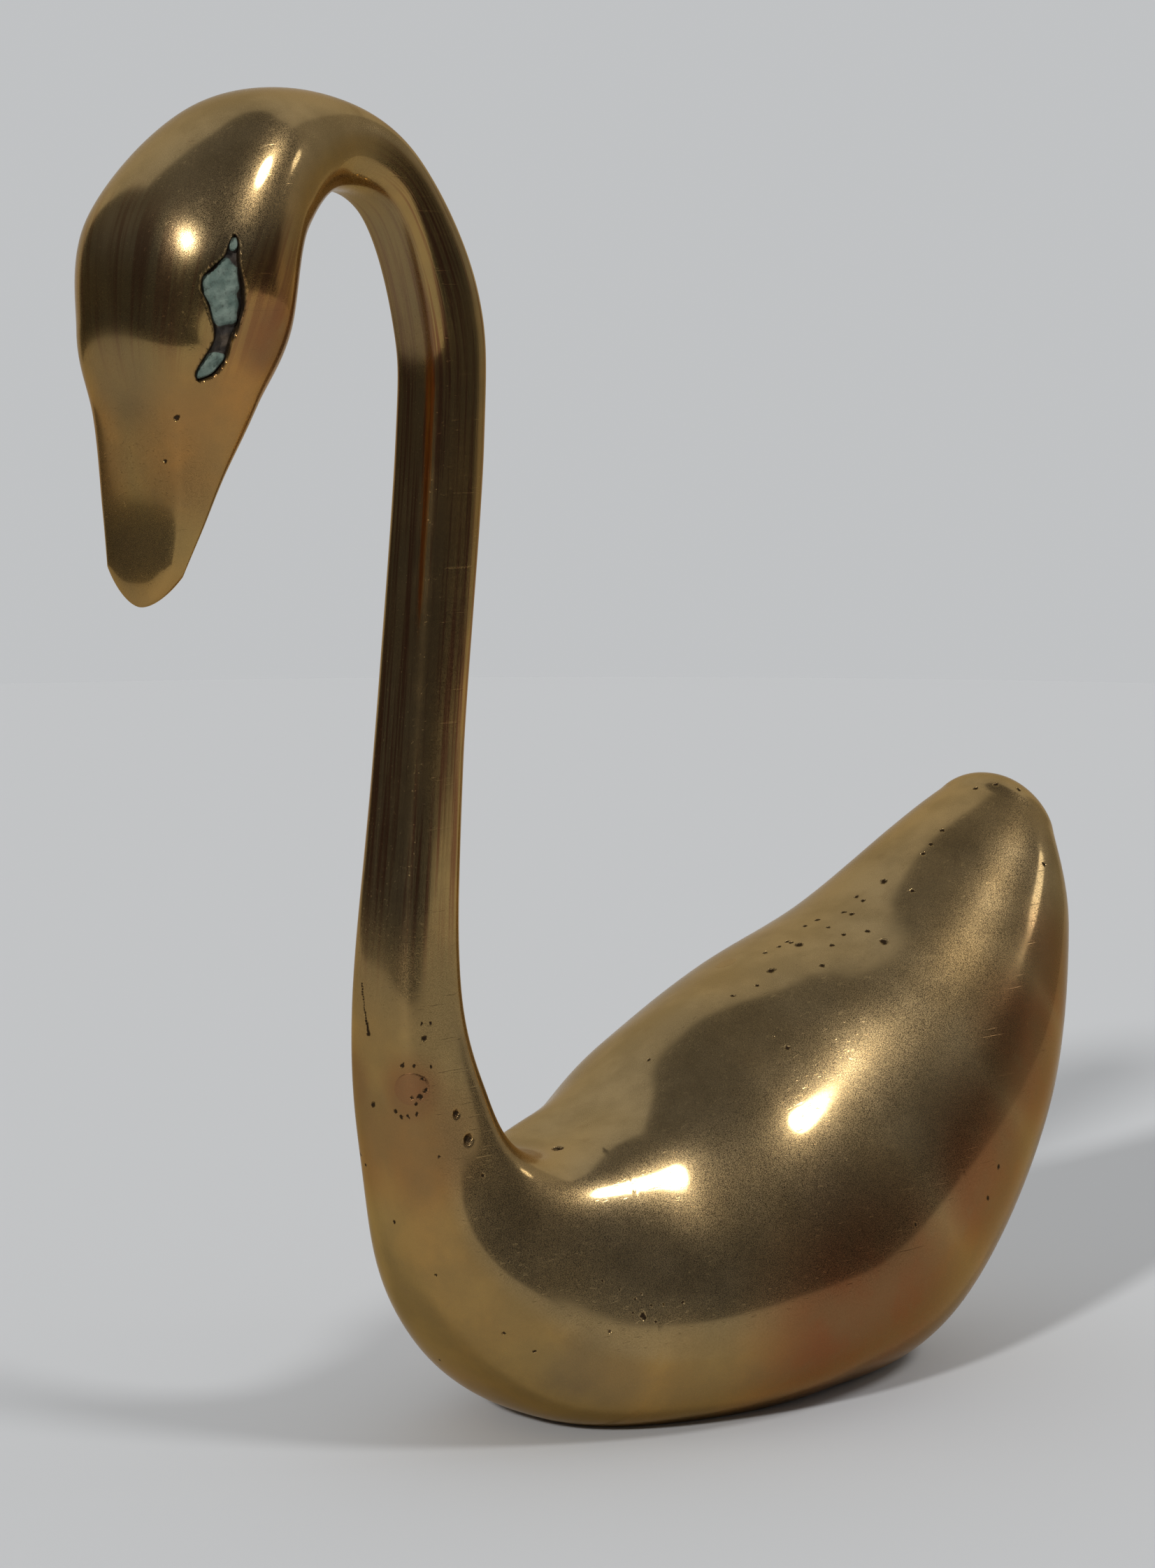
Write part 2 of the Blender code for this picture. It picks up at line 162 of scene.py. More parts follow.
# Casting pits, by the part of the skin that they lie in
NECK_PITS = (
    Pit(-25.0, -4.9, 43.3, 0.20), Pit(-24.0, -5.0, 43.3, 0.20), Pit(-24.8, -5.0, 41.9, 0.33),
    Pit(-26.6, -3.7, 39.4, 0.20), Pit(-25.9, -4.7, 39.4, 0.20), Pit(-24.2, -5.4, 39.2, 0.20),
    Pit(-25.2, -5.2, 38.1, 0.20), Pit(-24.9, -5.4, 37.0, 0.26), Pit(-25.5, -5.1, 36.4, 0.33),
    Pit(-26.2, -4.5, 36.3, 0.20), Pit(-25.8, -4.8, 35.7, 0.20), Pit(-26.8, 0.5, 35.0, 0.33),
    Pit(-26.7, -2.6, 34.8, 0.26), Pit(-26.5, -3.2, 34.3, 0.26), Pit(-26.3, -4.0, 34.4, 0.20),
    Pit(-25.8, -4.8, 34.7, 0.20), Pit(-21.5, -6.2, 34.4, 0.40), Pit(-20.3, -6.7, 31.8, 0.53),
    Pit(-25.5, 4.3, 29.3, 0.20), Pit(-25.7, 3.3, 28.4, 0.20), Pit(-5.1, -2.5, 27.7, 0.62),
    Pit(-19.0, -7.4, 28.2, 0.27),
)

# A casting fold on the neck root, as a row of pits that widens downwards
FOLD_PITS = tuple(Pit(-26.7 - 0.2 * share, 1.8 - 1.1 * share, 46.5 - 4.6 * share, 0.12 + 0.18 * share ** 4)
                  for share in np.linspace(0.0, 1.0, 20))

BELLY_PITS = (
    Pit(-5.3, -13.6, 14.9, 0.20), Pit(-4.7, -13.8, 15.3, 0.16), Pit(-4.7, -14.2, 13.0, 0.26),
    Pit(-4.0, -14.4, 14.1, 0.18), Pit(-2.9, -15.0, 14.2, 0.16), Pit(-1.1, -15.9, 14.2, 0.20),
    Pit(-5.7, -13.6, 13.6, 0.16), Pit(-3.8, -14.8, 12.6, 0.20), Pit(-6.6, -12.8, 15.9, 0.16),
    Pit(-8.2, -11.9, 16.9, 0.16), Pit(-22.6, -4.0, 18.6, 0.20), Pit(-17.6, -8.1, 12.7, 0.18),
    Pit(-14.8, -9.5, 10.7, 0.20), Pit(-16.3, 2.6, 7.7, 0.22), Pit(-24.3, 0.1, 23.3, 0.18),
    Pit(-23.6, -5.5, 30.5, 0.16),
)

BACK_PITS = (
    Pit(59.2, -1.3, 58.1, 0.31), Pit(60.8, -2.9, 58.5, 0.38), Pit(62.4, -4.7, 57.9, 0.31),
    Pit(59.9, -10.4, 50.5, 0.30), Pit(49.8, -3.1, 53.0, 0.30), Pit(48.4, -3.3, 52.1, 0.30),
    Pit(52.0, -2.8, 54.2, 0.30), Pit(43.4, -2.1, 49.5, 0.45), Pit(44.0, -5.6, 48.8, 0.30),
    Pit(40.2, -1.1, 48.1, 0.30), Pit(39.9, -2.3, 47.8, 0.30), Pit(37.3, -1.9, 46.8, 0.30),
    Pit(37.4, -2.9, 46.7, 0.30), Pit(34.9, -0.3, 46.1, 0.30), Pit(33.3, 0.0, 45.6, 0.29),
    Pit(34.1, -2.6, 45.6, 0.29), Pit(34.0, -4.9, 45.1, 0.29), Pit(31.7, -5.3, 44.3, 0.29),
    Pit(36.2, -6.2, 45.4, 0.29), Pit(36.4, -8.3, 44.5, 0.51), Pit(29.7, -2.5, 44.3, 0.51),
    Pit(29.7, -0.8, 44.4, 0.29), Pit(29.7, -1.4, 44.4, 0.29), Pit(28.5, -0.8, 44.0, 0.29),
    Pit(26.9, -0.3, 43.5, 0.29), Pit(28.5, -6.9, 42.7, 0.29), Pit(24.4, -3.5, 42.3, 0.51),
    Pit(21.6, -4.1, 41.2, 0.29), Pit(18.9, -3.3, 40.3, 0.29), Pit(-5.0, -14.4, 13.3, 0.34),
    Pit(18.7, -11.1, 35.9, 0.35), Pit(40.5, -20.8, 22.0, 0.29), Pit(38.2, -21.3, 19.1, 0.29),
    Pit(25.7, -22.3, 18.6, 0.28),
)

HEAD_PITS = (
    Pit(-54.2, -6.0, 100.7, 0.30),
    Pit(-54.4, -4.6, 96.9, 0.24),
)


@dataclass(frozen=True)
class Patch:
    """A soft-edged patch of the skin, in millimetres.

    Attributes:
        x: its place along the swan.
        y: its place across the swan.
        z: its height.
        radius: its radius.
        strength: how strong it is at its middle.
    """

    x: float
    y: float
    z: float
    radius: float
    strength: float


# Red brown patches: tarnish on the head and at the neck root, and painted reflected shade on the lower and
# rear flank
EMBERS = (
    Patch(20.1, -21.0, 8.7, 20.0, 1.0),
    Patch(38.1, -20.4, 22.3, 13.0, 0.9),
    Patch(49.0, -17.0, 32.0, 12.0, 0.9),
    Patch(58.5, -13.0, 39.0, 10.0, 0.9),
    Patch(-46.6, -10.4, 107.6, 5.0, 0.9),
    Patch(-25.8, -4.4, 31.6, 9.0, 0.45),
    Patch(-26.18, -4.47, 36.6, 5.0, 0.7),
)

# Orange patches of the tarnish
BLUSHES = (
    Patch(-48.1, -8.8, 102.9, 8.0, 0.9),
    Patch(-52.0, -6.8, 98.1, 9.0, 0.9),
    Patch(-46.6, -10.9, 111.4, 6.0, 0.8),
)

# Swells of the skin, whose strength is a height in millimetres, below zero for a dip
SWELLS = (
    Patch(0.0, -6.8, 28.2, 4.2, 1.2),
    Patch(-2.6, -15.2, 20.6, 6.0, -0.8),
    Patch(15.4, -15.6, 29.2, 5.8, 0.85),
    Patch(-19.5, -7.3, 28.5, 6.5, -0.75),
    Patch(63.6, -7.8, 53.2, 3.6, 0.5),
)

# Dull stains on the belly
STAINS = (
    Patch(-10.6, -11.6, 8.2, 5.2, 0.45),
    Patch(-7.6, -13.0, 7.0, 5.0, 0.40),
)

# Where the head is streaked
STREAKS = (
    Patch(-56.6, 0.0, 112.5, 11.0, 0.7),
    Patch(-52.5, -8.0, 110.5, 8.0, 0.7),
    Patch(-46.0, -10.0, 113.0, 7.0, 0.7),
)

# Dull patches inside the hook and at the root of the bill
PATINAS = (
    Patch(-21.8, 0.0, 108.6, 6.0, 0.6),
    Patch(-22.1, 0.0, 111.0, 6.5, 0.6),
    Patch(-22.9, 0.0, 113.6, 6.5, 0.6),
    Patch(-24.2, 0.0, 116.2, 6.5, 0.6),
    Patch(-26.0, 0.0, 118.8, 6.0, 0.6),
    Patch(-56.4, 0.0, 104.5, 6.5, 0.5),
)


@dataclass(frozen=True)
class SwanForm:
    """The swan's outer skin: a superellipse ring carried along a back rail and a belly rail.

    Attributes:
        sections: the named sections from the tail to the bill.
        shift_x: what is added to a section's x so that the swan stands over its origin.
        tail_rounding: how far the rounded tail goes past its last section.
        bill_rounding: how far the rounded bill goes past its last section.
    """

    sections: dict[str, Section]
    shift_x: float = -6.268
    tail_rounding: float = 4.0
    bill_rounding: float = 3.2

    def station(self, name: str) -> float:
        """Return the place of a named section, counted from the tail.

        Args:
            name: the section's name.

        Returns:
            Its place.
        """
        return float(list(self.sections).index(name))

    def values(self, places: np.ndarray) -> np.ndarray:
        """Return the section values at places along the swan.

        Each value is a cubic through the four sections around the place: half of twice the section
        here, plus the slope across it times u, plus the usual square and cube terms.

        Args:
            places: places counted in sections from the tail.

        Returns:
            An array of one row of eight values per place.
        """
        table = np.array([astuple(section) for section in self.sections.values()])
        table = np.vstack([2 * table[0] - table[1], table, 2 * table[-1] - table[-2]])
        low = np.clip(np.floor(places).astype(int), 0, len(table) - 4)
        u = (places - low)[:, None]
        before, here, there, after = (table[low + step] for step in range(4))
        square = 2 * before - 5 * here + 4 * there - after
        cube = 3 * here - before - 3 * there + after
        return 0.5 * (2 * here + (there - before) * u + square * u**2 + cube * u**3)

    def rings(self, places: np.ndarray, turns: np.ndarray) -> np.ndarray:
        """Return skin points for a grid of places and turns.

        A turn is a direction round the ring. The point lies where a superellipse meets it, at one over
        the n-th root of |cos|^n + |sin|^n, with the height above or below the widest line scaled to
        the rail on that side.

        Args:
            places: one place per row.
            turns: directions round the ring in radians, per row and column.

        Returns:
            Points in millimetres, per row and column.
        """
        values = self.values(places)
        cosine, sine = np.cos(turns), np.sin(turns)
        power = np.where(sine > 0, values[:, 6, None], values[:, 7, None])
        reach = (np.abs(cosine) ** power + np.abs(sine) ** power) ** (-1 / power)
        side, height = cosine * reach, sine * reach
        widest = values[:, 5, None]
        share = (widest + height * np.where(height > 0, 1 - widest, widest))[..., None]
        back, belly = values[:, None, 0:2], values[:, None, 2:4]
        plane = belly + share * (back - belly)
        return np.stack([plane[..., 0] + self.shift_x, values[:, 4, None] * side, plane[..., 1]], axis=-1)

    def middle(self, places: np.ndarray) -> np.ndarray:
        """Return the points midway between the two rails at the given places.

        Args:
            places: places counted in sections from the tail.

        Returns:
            Points in millimetres, one per place.
        """
        values = self.values(places)
        centre = (values[:, 0:2] + values[:, 2:4]) / 2
        return np.stack([centre[:, 0] + self.shift_x, np.zeros(len(places)), centre[:, 1]], axis=-1)

    def spaced(self, first: float, last: float, step: float) -> np.ndarray:
        """Return places from first to last, evenly spaced in length along the middle line.

        Args:
            first: the first place.
            last: the last place.
            step: the spacing in millimetres.

        Returns:
            The places in order.
        """
        fine = np.linspace(first, last, 2000)
        length = np.linalg.norm(np.diff(self.middle(fine), axis=0), axis=1)
        along = np.concatenate([[0.0], np.cumsum(length)])
        count = max(2, int(math.ceil(along[-1] / step)) + 1)
        return np.interp(np.linspace(0, along[-1], count), along, fine)

    def turn_at(self, places: np.ndarray, level: float) -> np.ndarray:
        """Return, per place, the turn below the left side where the ring meets a level.

        Args:
            places: one place per row.
            level: the height of the level in millimetres.

        Returns:
            Turns in radians, minus a quarter turn where the ring stays above the level.
        """
        values = self.values(places)
        share = (level - values[:, 3]) / (values[:, 1] - values[:, 3])
        height = np.clip((share - values[:, 5]) / values[:, 5], -1.0, 0.0)
        power = values[:, 7]
        side = (1 - np.abs(height) ** power) ** (1 / power)
        return np.arctan2(height, side)

    def rounding(self, end: float, inner: float, length: float, steps: int, turns: np.ndarray,
                 point: float = 0.0) -> np.ndarray:
        """Return the rings of a rounded end, from its last section to its tip.

        The end section shrinks as the cosine of an angle while it moves out as its sine, starting at
        the angle where that curve has the skin's own taper.

        Args:
            end: the place of the end section.
            inner: a place just inside it.
            length: how far the tip lies past the end section.
            steps: the number of rings.
            turns: directions round the ring.
            point: how far the end leans to a straight point, from 0 to 1.

        Returns:
            Points in millimetres, per ring and direction.
        """
        pair = self.rings(np.array([end, inner]), np.stack([turns, turns]))
        centre = self.middle(np.array([end, inner]))
        outward = centre[0] - centre[1]
        gap = np.linalg.norm(outward)
        outward = outward / gap
        radius = np.linalg.norm(pair[0] - centre[0], axis=1).mean()
        taper = max((np.linalg.norm(pair[1] - centre[1], axis=1).mean() - radius) / gap, 0.0)
        start = math.atan(taper * length / radius)
        angle = np.linspace(start, math.pi / 2, steps + 2)[1:-1]
        size = (np.cos(angle) / math.cos(start))[:, None, None]
        reach = ((np.sin(angle) - math.sin(start)) / (1 - math.sin(start)))[:, None, None]
        size = size * (1 - point) + (1 - reach) * point
        return centre[0] + size * (pair[0] - centre[0]) + reach * length * outward

    def patch(self, mouth: np.ndarray, down: np.ndarray, across: np.ndarray, u: np.ndarray, v: np.ndarray,
              seed: tuple[float, float]) -> np.ndarray:
        """Return the skin points that lie over given offsets from a mouth on the skin.

        The place and turn of each point are found by Newton steps on its offsets along two directions.

        Args:
            mouth: a point near the skin.
            down: the first direction, of unit length.
            across: the second direction, of unit length.
            u: wanted offsets along the first direction.
            v: wanted offsets along the second direction.
            seed: a place and turn near the mouth to start from.

        Returns:
            Skin points in millimetres, one per offset.
        """
        place = np.full(u.size, seed[0])
        turn = np.full(u.size, seed[1])
        wanted = np.stack([u.ravel(), v.ravel()], axis=-1)
        axes = np.stack([down, across], axis=-1)
        step = 1e-4
        for _ in range(14):
            here = self.rings(place, turn[:, None])[:, 0]
            by_place = (self.rings(place + step, turn[:, None])[:, 0] - here) @ axes / step
            by_turn = (self.rings(place, turn[:, None] + step)[:, 0] - here) @ axes / step
            miss = wanted - (here - mouth) @ axes
            scale = by_place[:, 0] * by_turn[:, 1] - by_place[:, 1] * by_turn[:, 0]
            scale = np.where(np.abs(scale) < 1e-6, 1e-6, scale)
            onward = (miss[:, 0] * by_turn[:, 1] - miss[:, 1] * by_turn[:, 0]) / scale
            around = (miss[:, 1] * by_place[:, 0] - miss[:, 0] * by_place[:, 1]) / scale
            place = place + np.clip(onward, -0.3, 0.3)
            turn = turn + np.clip(around, -0.3, 0.3)
        return self.rings(place, turn[:, None])[:, 0].reshape(u.shape + (3,))


class Surface:
    """Grids, fans and attributes gathered into one closed mesh."""

    def __init__(self) -> None:
        """Start with no points and no faces."""
        self.points: list[np.ndarray] = []
        self.faces: list[list[int]] = []
        self.layers: dict[str, list[np.ndarray]] = {}
        self.count = 0

    def add_points(self, points: np.ndarray, **layers: np.ndarray) -> np.ndarray:
        """Add points and return their numbers in the shape of the grid.

        Args:
            points: points in millimetres, in any grid shape.
            **layers: values per point, by attribute name.

        Returns:
            The points' numbers, in the grid's shape.
        """
        numbers = np.arange(self.count, self.count + points[..., 0].size).reshape(points.shape[:-1])
        self.points.append(points.reshape(-1, 3))
        for name, values in layers.items():
            rows = np.column_stack([numbers.ravel(), values.reshape(numbers.size, -1)])
            self.layers.setdefault(name, []).append(rows)
        self.count += numbers.size
        return numbers

    def add_quads(self, numbers: np.ndarray, wrap: bool = False, flip: bool = False) -> None:
        """Join a grid of point numbers into faces, leaving out corners that coincide.

        Args:
            numbers: point numbers per row and column.
            wrap: whether the last column joins the first.
            flip: whether the faces are turned over.
        """
        if wrap:
            numbers = np.concatenate([numbers, numbers[:, :1]], axis=1)
        corners = [numbers[:-1, :-1], numbers[1:, :-1], numbers[1:, 1:], numbers[:-1, 1:]]
        quads = np.stack(corners, axis=-1).reshape(-1, 4)
        if flip:
            quads = quads[:, ::-1]
        same = quads == np.roll(quads, -1, axis=1)
        whole = ~same.any(axis=1)
        self.faces.extend(quads[whole].tolist())
        for column in range(4):
            odd = quads[same[:, column] & (same.sum(axis=1) == 1)]
            self.faces.extend(np.delete(odd, column, axis=1).tolist())

    def add_fan(self, ring: np.ndarray, pole: np.ndarray, flip: bool = False, **layers: np.ndarray) -> None:
        """Close a ring of point numbers onto one pole point.

        Args:
            ring: the ring's point numbers in order.
            pole: the pole in millimetres.
            flip: whether the faces are turned over.
            **layers: the pole's values, by attribute name.
        """
        tip = self.add_points(pole.reshape(1, 3), **layers)[0]
        faces = np.stack([np.roll(ring, -1), ring, np.full(ring.size, tip)], axis=-1)
        self.faces.extend((faces[:, ::-1] if flip else faces).tolist())

    def make(self, name: str, crease: float = 40.0) -> bpy.types.Object:
        """Make the gathered surface a mesh object at the origin.

        Args:
            name: the object's name.
            crease: the angle in degrees past which an edge is shaded sharp.

        Returns:
            The new object, linked to the scene.
        """
        mesh = bpy.data.meshes.new(name)
        mesh.from_pydata(np.concatenate(self.points) * MM, [], self.faces)
        for layer, parts in self.layers.items():
            rows = np.concatenate(parts)
            width = rows.shape[1] - 1
            values = np.zeros((self.count, width))
            values[rows[:, 0].astype(int)] = rows[:, 1:]
            attribute = mesh.attributes.new(layer, "FLOAT_VECTOR" if width == 3 else "FLOAT", "POINT")
            attribute.data.foreach_set("vector" if width == 3 else "value", values.ravel())
        mesh.polygons.foreach_set("use_smooth", np.ones(len(mesh.polygons), dtype=bool))
        mesh.set_sharp_from_angle(angle=math.radians(crease))
        mesh.update()
        thing = bpy.data.objects.new(name, mesh)
        bpy.context.scene.collection.objects.link(thing)
        return thing


def unit(vector: Triple) -> np.ndarray:
    """Return the vector at unit length.

    Args:
        vector: any vector but zero.

    Returns:
        The unit vector.
    """
    array = np.array(vector, dtype=float)
    return array / np.linalg.norm(array)


def full_turn(count: int) -> np.ndarray:
    """Return evenly spaced angles round a full turn.

    Args:
        count: how many angles.

    Returns:
        The angles in radians.
    """
    return 2 * math.pi * np.arange(count) / count


def soft_step(values: np.ndarray, low: float, high: float) -> np.ndarray:
    """Return a smooth rise from 0 at low to 1 at high.

    Args:
        values: the values.
        low: where the rise starts.
        high: where it ends.

    Returns:
        A share from 0 to 1 per value.
    """
    share = np.clip((values - low) / (high - low), 0.0, 1.0)
    return share * share * (3 - 2 * share)


def grid_normals(points: np.ndarray) -> np.ndarray:
    """Return outward unit normals of a grid, the cross product of its steps along rows and columns.

    Args:
        points: the grid.

    Returns:
        A normal per point.
    """
    along = np.gradient(points, axis=0)
    around = np.gradient(points, axis=1)
    normals = np.cross(along, around)
    return normals / np.maximum(np.linalg.norm(normals, axis=-1, keepdims=True), 1e-9)


# Pits wider than this radius in millimetres are sunk into the mesh, by this share of their radius
SUNK_PIT_RADIUS = 0.35
SUNK_PIT_DEPTH = 0.5


def dented(points: np.ndarray, pits: tuple[Pit, ...], shift_x: float) -> np.ndarray:
    """Sink the larger round pits into a grid, each by a smooth bowl.

    Args:
        points: the grid in millimetres.
        pits: the pits in the skin.
        shift_x: what is added to a pit's x.

    Returns:
        The sunk grid.
    """
    normals = grid_normals(points)
    sink = np.zeros(points.shape[:-1])
    for pit in (pit for pit in pits if pit.radius > SUNK_PIT_RADIUS):
        gap = np.linalg.norm(points - np.array([pit.x + shift_x, pit.y, pit.z]), axis=-1)
        bowl = 1 - soft_step(gap, 0.25 * pit.radius, 1.15 * pit.radius)
        sink = np.maximum(sink, SUNK_PIT_DEPTH * pit.radius * bowl)
    return points - normals * sink[..., None]


def rise(points: np.ndarray, shift_x: float) -> np.ndarray:
    """Return how far the skin stands above its plain form: a slow wander, and bell-shaped swells.

    Args:
        points: points of the plain form in millimetres.
        shift_x: what is added to a swell's x.

    Returns:
        A height in millimetres per point.
    """
    height = 0.06 * waves(points, 26.0, 3) + 0.008 * waves(points, 8.0, 7)
    height = height * soft_step(points[..., 2], 1.0, 8.0) * (1 - soft_step(points[..., 2], 60.0, 80.0))
    for patch in SWELLS:
        for side in (1.0, -1.0):
            gap = np.linalg.norm(points - np.array([patch.x + shift_x, side * patch.y, patch.z]), axis=-1)
            height = height + patch.strength * np.exp(-0.5 * (gap / patch.radius) ** 2)
    return height


def spread(points: np.ndarray, patches: tuple[Patch, ...], shift_x: float) -> np.ndarray:
    """Return how strongly a set of patches lies on points, the same on both sides of the swan.

    Args:
        points: points in millimetres.
        patches: the patches, listed on the left side.
        shift_x: what is added to a patch's x.

    Returns:
        A share from 0 to 1 per point.
    """
    left = points * np.array([1.0, 0.0, 1.0]) - np.abs(points) * np.array([0.0, 1.0, 0.0])
    total = np.zeros(points.shape[:-1])
    for patch in patches:
        gap = np.linalg.norm(left - np.array([patch.x + shift_x, patch.y, patch.z]), axis=-1)
        total = np.maximum(total, patch.strength * (1 - soft_step(gap, 0.35 * patch.radius, patch.radius)))
    return total


def tones(points: np.ndarray, shift_x: float) -> dict[str, np.ndarray]:
    """Return the colour layers of a grid: how far it faces down, which is painted shade, and its blushes,
    embers that are partly painted shade, patinas and stains.

    Args:
        points: the grid in millimetres.
        shift_x: what is added to a patch's x.

    Returns:
        The layers by name.
    """
    normals = grid_normals(points)
    flat = 1 - soft_step(np.abs(normals[..., 1]), 0.35, 0.75)
    return {
        # Painted shade: how far a face turns down, which darkens and warms its tint
        "downturn_shade": 1 - soft_step(normals[..., 2], -0.05, 0.22),
        "blush": spread(points, BLUSHES, shift_x),
        # Embers: tarnish, and painted reflected shade on the lower and rear flank
        "ember": spread(points, EMBERS, shift_x),
        "patina": np.maximum(spread(points, PATINAS, shift_x) * flat, spread(points, STAINS, shift_x)),
    }


def waves(points: np.ndarray, size: float, seed: int) -> np.ndarray:
    """Return a smooth wandering height: a mean of sine waves in random directions.

    Args:
        points: points in millimetres.
        size: the usual wave length in millimetres.
        seed: which set of waves.

    Returns:
        Heights between about minus one and one.
    """
    dice = np.random.default_rng(seed)
    total = np.zeros(points.shape[:-1])
    for _ in range(9):
        heading = unit(tuple(dice.normal(size=3)))
        length = size * dice.uniform(0.7, 1.5)
        total += np.sin(points @ heading * (2 * math.pi / length) + dice.uniform(0, 2 * math.pi))
    return total / 4.5


def flow_of(places: np.ndarray, turns: np.ndarray, form: SwanForm) -> np.ndarray:
    """Return the flow coordinates of a grid: round the ring as a circle, and millimetres along.

    Args:
        places: one place per row.
        turns: directions per row and column.
        form: the swan's form.

    Returns:
        Vectors per row and column.
    """
    middle = form.middle(places)
    along = np.concatenate([[0.0], np.cumsum(np.linalg.norm(np.diff(middle, axis=0), axis=1))])
    along = along + 10.0 * places[0]
    return np.stack([np.cos(turns), np.sin(turns), np.broadcast_to(along[:, None], turns.shape)], axis=-1)


class Graph:
    """A node tree with short ways to add and join nodes."""

    def __init__(self, tree: bpy.types.NodeTree) -> None:
        """Take the tree that nodes are added to.

        Args:
            tree: the node tree.
        """
        self.tree = tree

    def add(self, kind: str, inputs: dict | None = None, **settings: object) -> bpy.types.Node:
        """Add a node.

        Args:
            kind: the node type, without its ShaderNode prefix.
            inputs: values or output sockets, by input name or number.
            **settings: the node's own properties.

        Returns:
            The new node.
        """
        node = self.tree.nodes.new("ShaderNode" + kind)
        for name, value in settings.items():
            setattr(node, name, value)
        for name, value in (inputs or {}).items():
            if isinstance(value, Socket):
                self.tree.links.new(value, node.inputs[name])
            else:
                node.inputs[name].default_value = value
        return node

    def end(self, shader: bpy.types.Node, kind: str = "OutputMaterial") -> None:
        """Join a shader to a new output node.

        Args:
            shader: the last node.
            kind: the output node's type.
        """
        self.add(kind, {0: shader.outputs[0]})

    def layer(self, name: str, output: str = "Fac") -> Socket:
        """Return a named attribute of the mesh.

        Args:
            name: the attribute's name.
            output: which output of its node is used.

        Returns:
            The output socket.
        """
        return self.add("Attribute", attribute_name=name, attribute_type="GEOMETRY").outputs[output]

    def math(self, operation: str, first: object, second: object = 0.0, third: object = 0.0) -> Socket:
        """Return the output of a new math node.

        Args:
            operation: what it does.
            first: its first value.
            second: its second value.
            third: its third value.

        Returns:
            The output socket.
        """
        return self.add("Math", {0: first, 1: second, 2: third}, operation=operation).outputs[0]

    def vector(self, operation: str, *values: object, output: str = "Vector") -> Socket:
        """Return an output of a new vector math node.

        Args:
            operation: what it does.
            *values: its values.
            output: which of its outputs is used.

        Returns:
            The output socket.
        """
        return self.add("VectorMath", dict(enumerate(values)), operation=operation).outputs[output]

    def ramp(self, value: object, low: float, high: float, start: float = 0.0, end: float = 1.0) -> Socket:
        """Return a value mapped smoothly from low..high to start..end, and held beyond.

        Args:
            value: the value.
            low: where the map starts.
            high: where it ends.
            start: the result at low.
            end: the result at high.

        Returns:
            The output socket.
        """
        sockets = {"Value": value, "From Min": low, "From Max": high, "To Min": start, "To Max": end}
        return self.add("MapRange", sockets, interpolation_type="SMOOTHSTEP").outputs["Result"]

    def mix(self, share: object, first: object, second: object) -> Socket:
        """Return a colour mixed from two colours by a share.

        Args:
            share: how much of the second colour there is.
            first: the first colour.
            second: the second colour.

        Returns:
            The output socket.
        """
        return self.add("Mix", {0: share, 6: first, 7: second}, data_type="RGBA").outputs[2]

    def noise(self, vector: object, scale: float, detail: float = 2.0, rough: float = 0.5) -> Socket:
        """Return the value of a new noise texture.

        Args:
            vector: its coordinates.
            scale: its scale.
            detail: its detail.
            rough: its roughness.

        Returns:
            The output socket.
        """
        sockets = {"Vector": vector, "Scale": scale, "Detail": detail, "Roughness": rough}
        return self.add("TexNoise", sockets).outputs["Fac"]

    def stretched(self, vector: object, scale: Triple, turn: Triple = (0.0, 0.0, 0.0)) -> Socket:
        """Return a vector turned and stretched by a mapping node.

        Args:
            vector: the vector.
            scale: the stretch along each axis.
            turn: the turn about each axis in radians.

        Returns:
            The output socket.
        """
        return self.add("Mapping", {"Vector": vector, "Rotation": turn, "Scale": scale}).outputs[0]


class Effect:
    """A named node group: its sockets, and a graph to fill it."""

    def __init__(self, name: str, inputs: dict[str, str], outputs: dict[str, str]) -> None:
        """Make the group and its sockets.

        Args:
            name: the group's name.
            inputs: socket kinds by input name.
            outputs: socket kinds by output name.
        """
        self.group = bpy.data.node_groups.new(name, "ShaderNodeTree")
        for socket, kind in inputs.items():
            self.group.interface.new_socket(socket, in_out="INPUT", socket_type="NodeSocket" + kind)
        for socket, kind in outputs.items():
            self.group.interface.new_socket(socket, in_out="OUTPUT", socket_type="NodeSocket" + kind)
        self.graph = Graph(self.group)
        self.given = self.group.nodes.new("NodeGroupInput").outputs
        self.result = self.group.nodes.new("NodeGroupOutput").inputs

    def give(self, name: str, socket: Socket) -> None:
        """Join a socket to the group's named output.

        Args:
            name: the output's name.
            socket: the socket that feeds it.
        """
        self.group.links.new(socket, self.result[name])

    def place(self, graph: Graph, inputs: dict) -> bpy.types.Node:
        """Place the group in another graph with its own input values.

        Args:
            graph: the graph that it is placed in.
            inputs: values or sockets by input name.

        Returns:
            The group's node.
        """
        return graph.add("Group", inputs, node_tree=self.group)


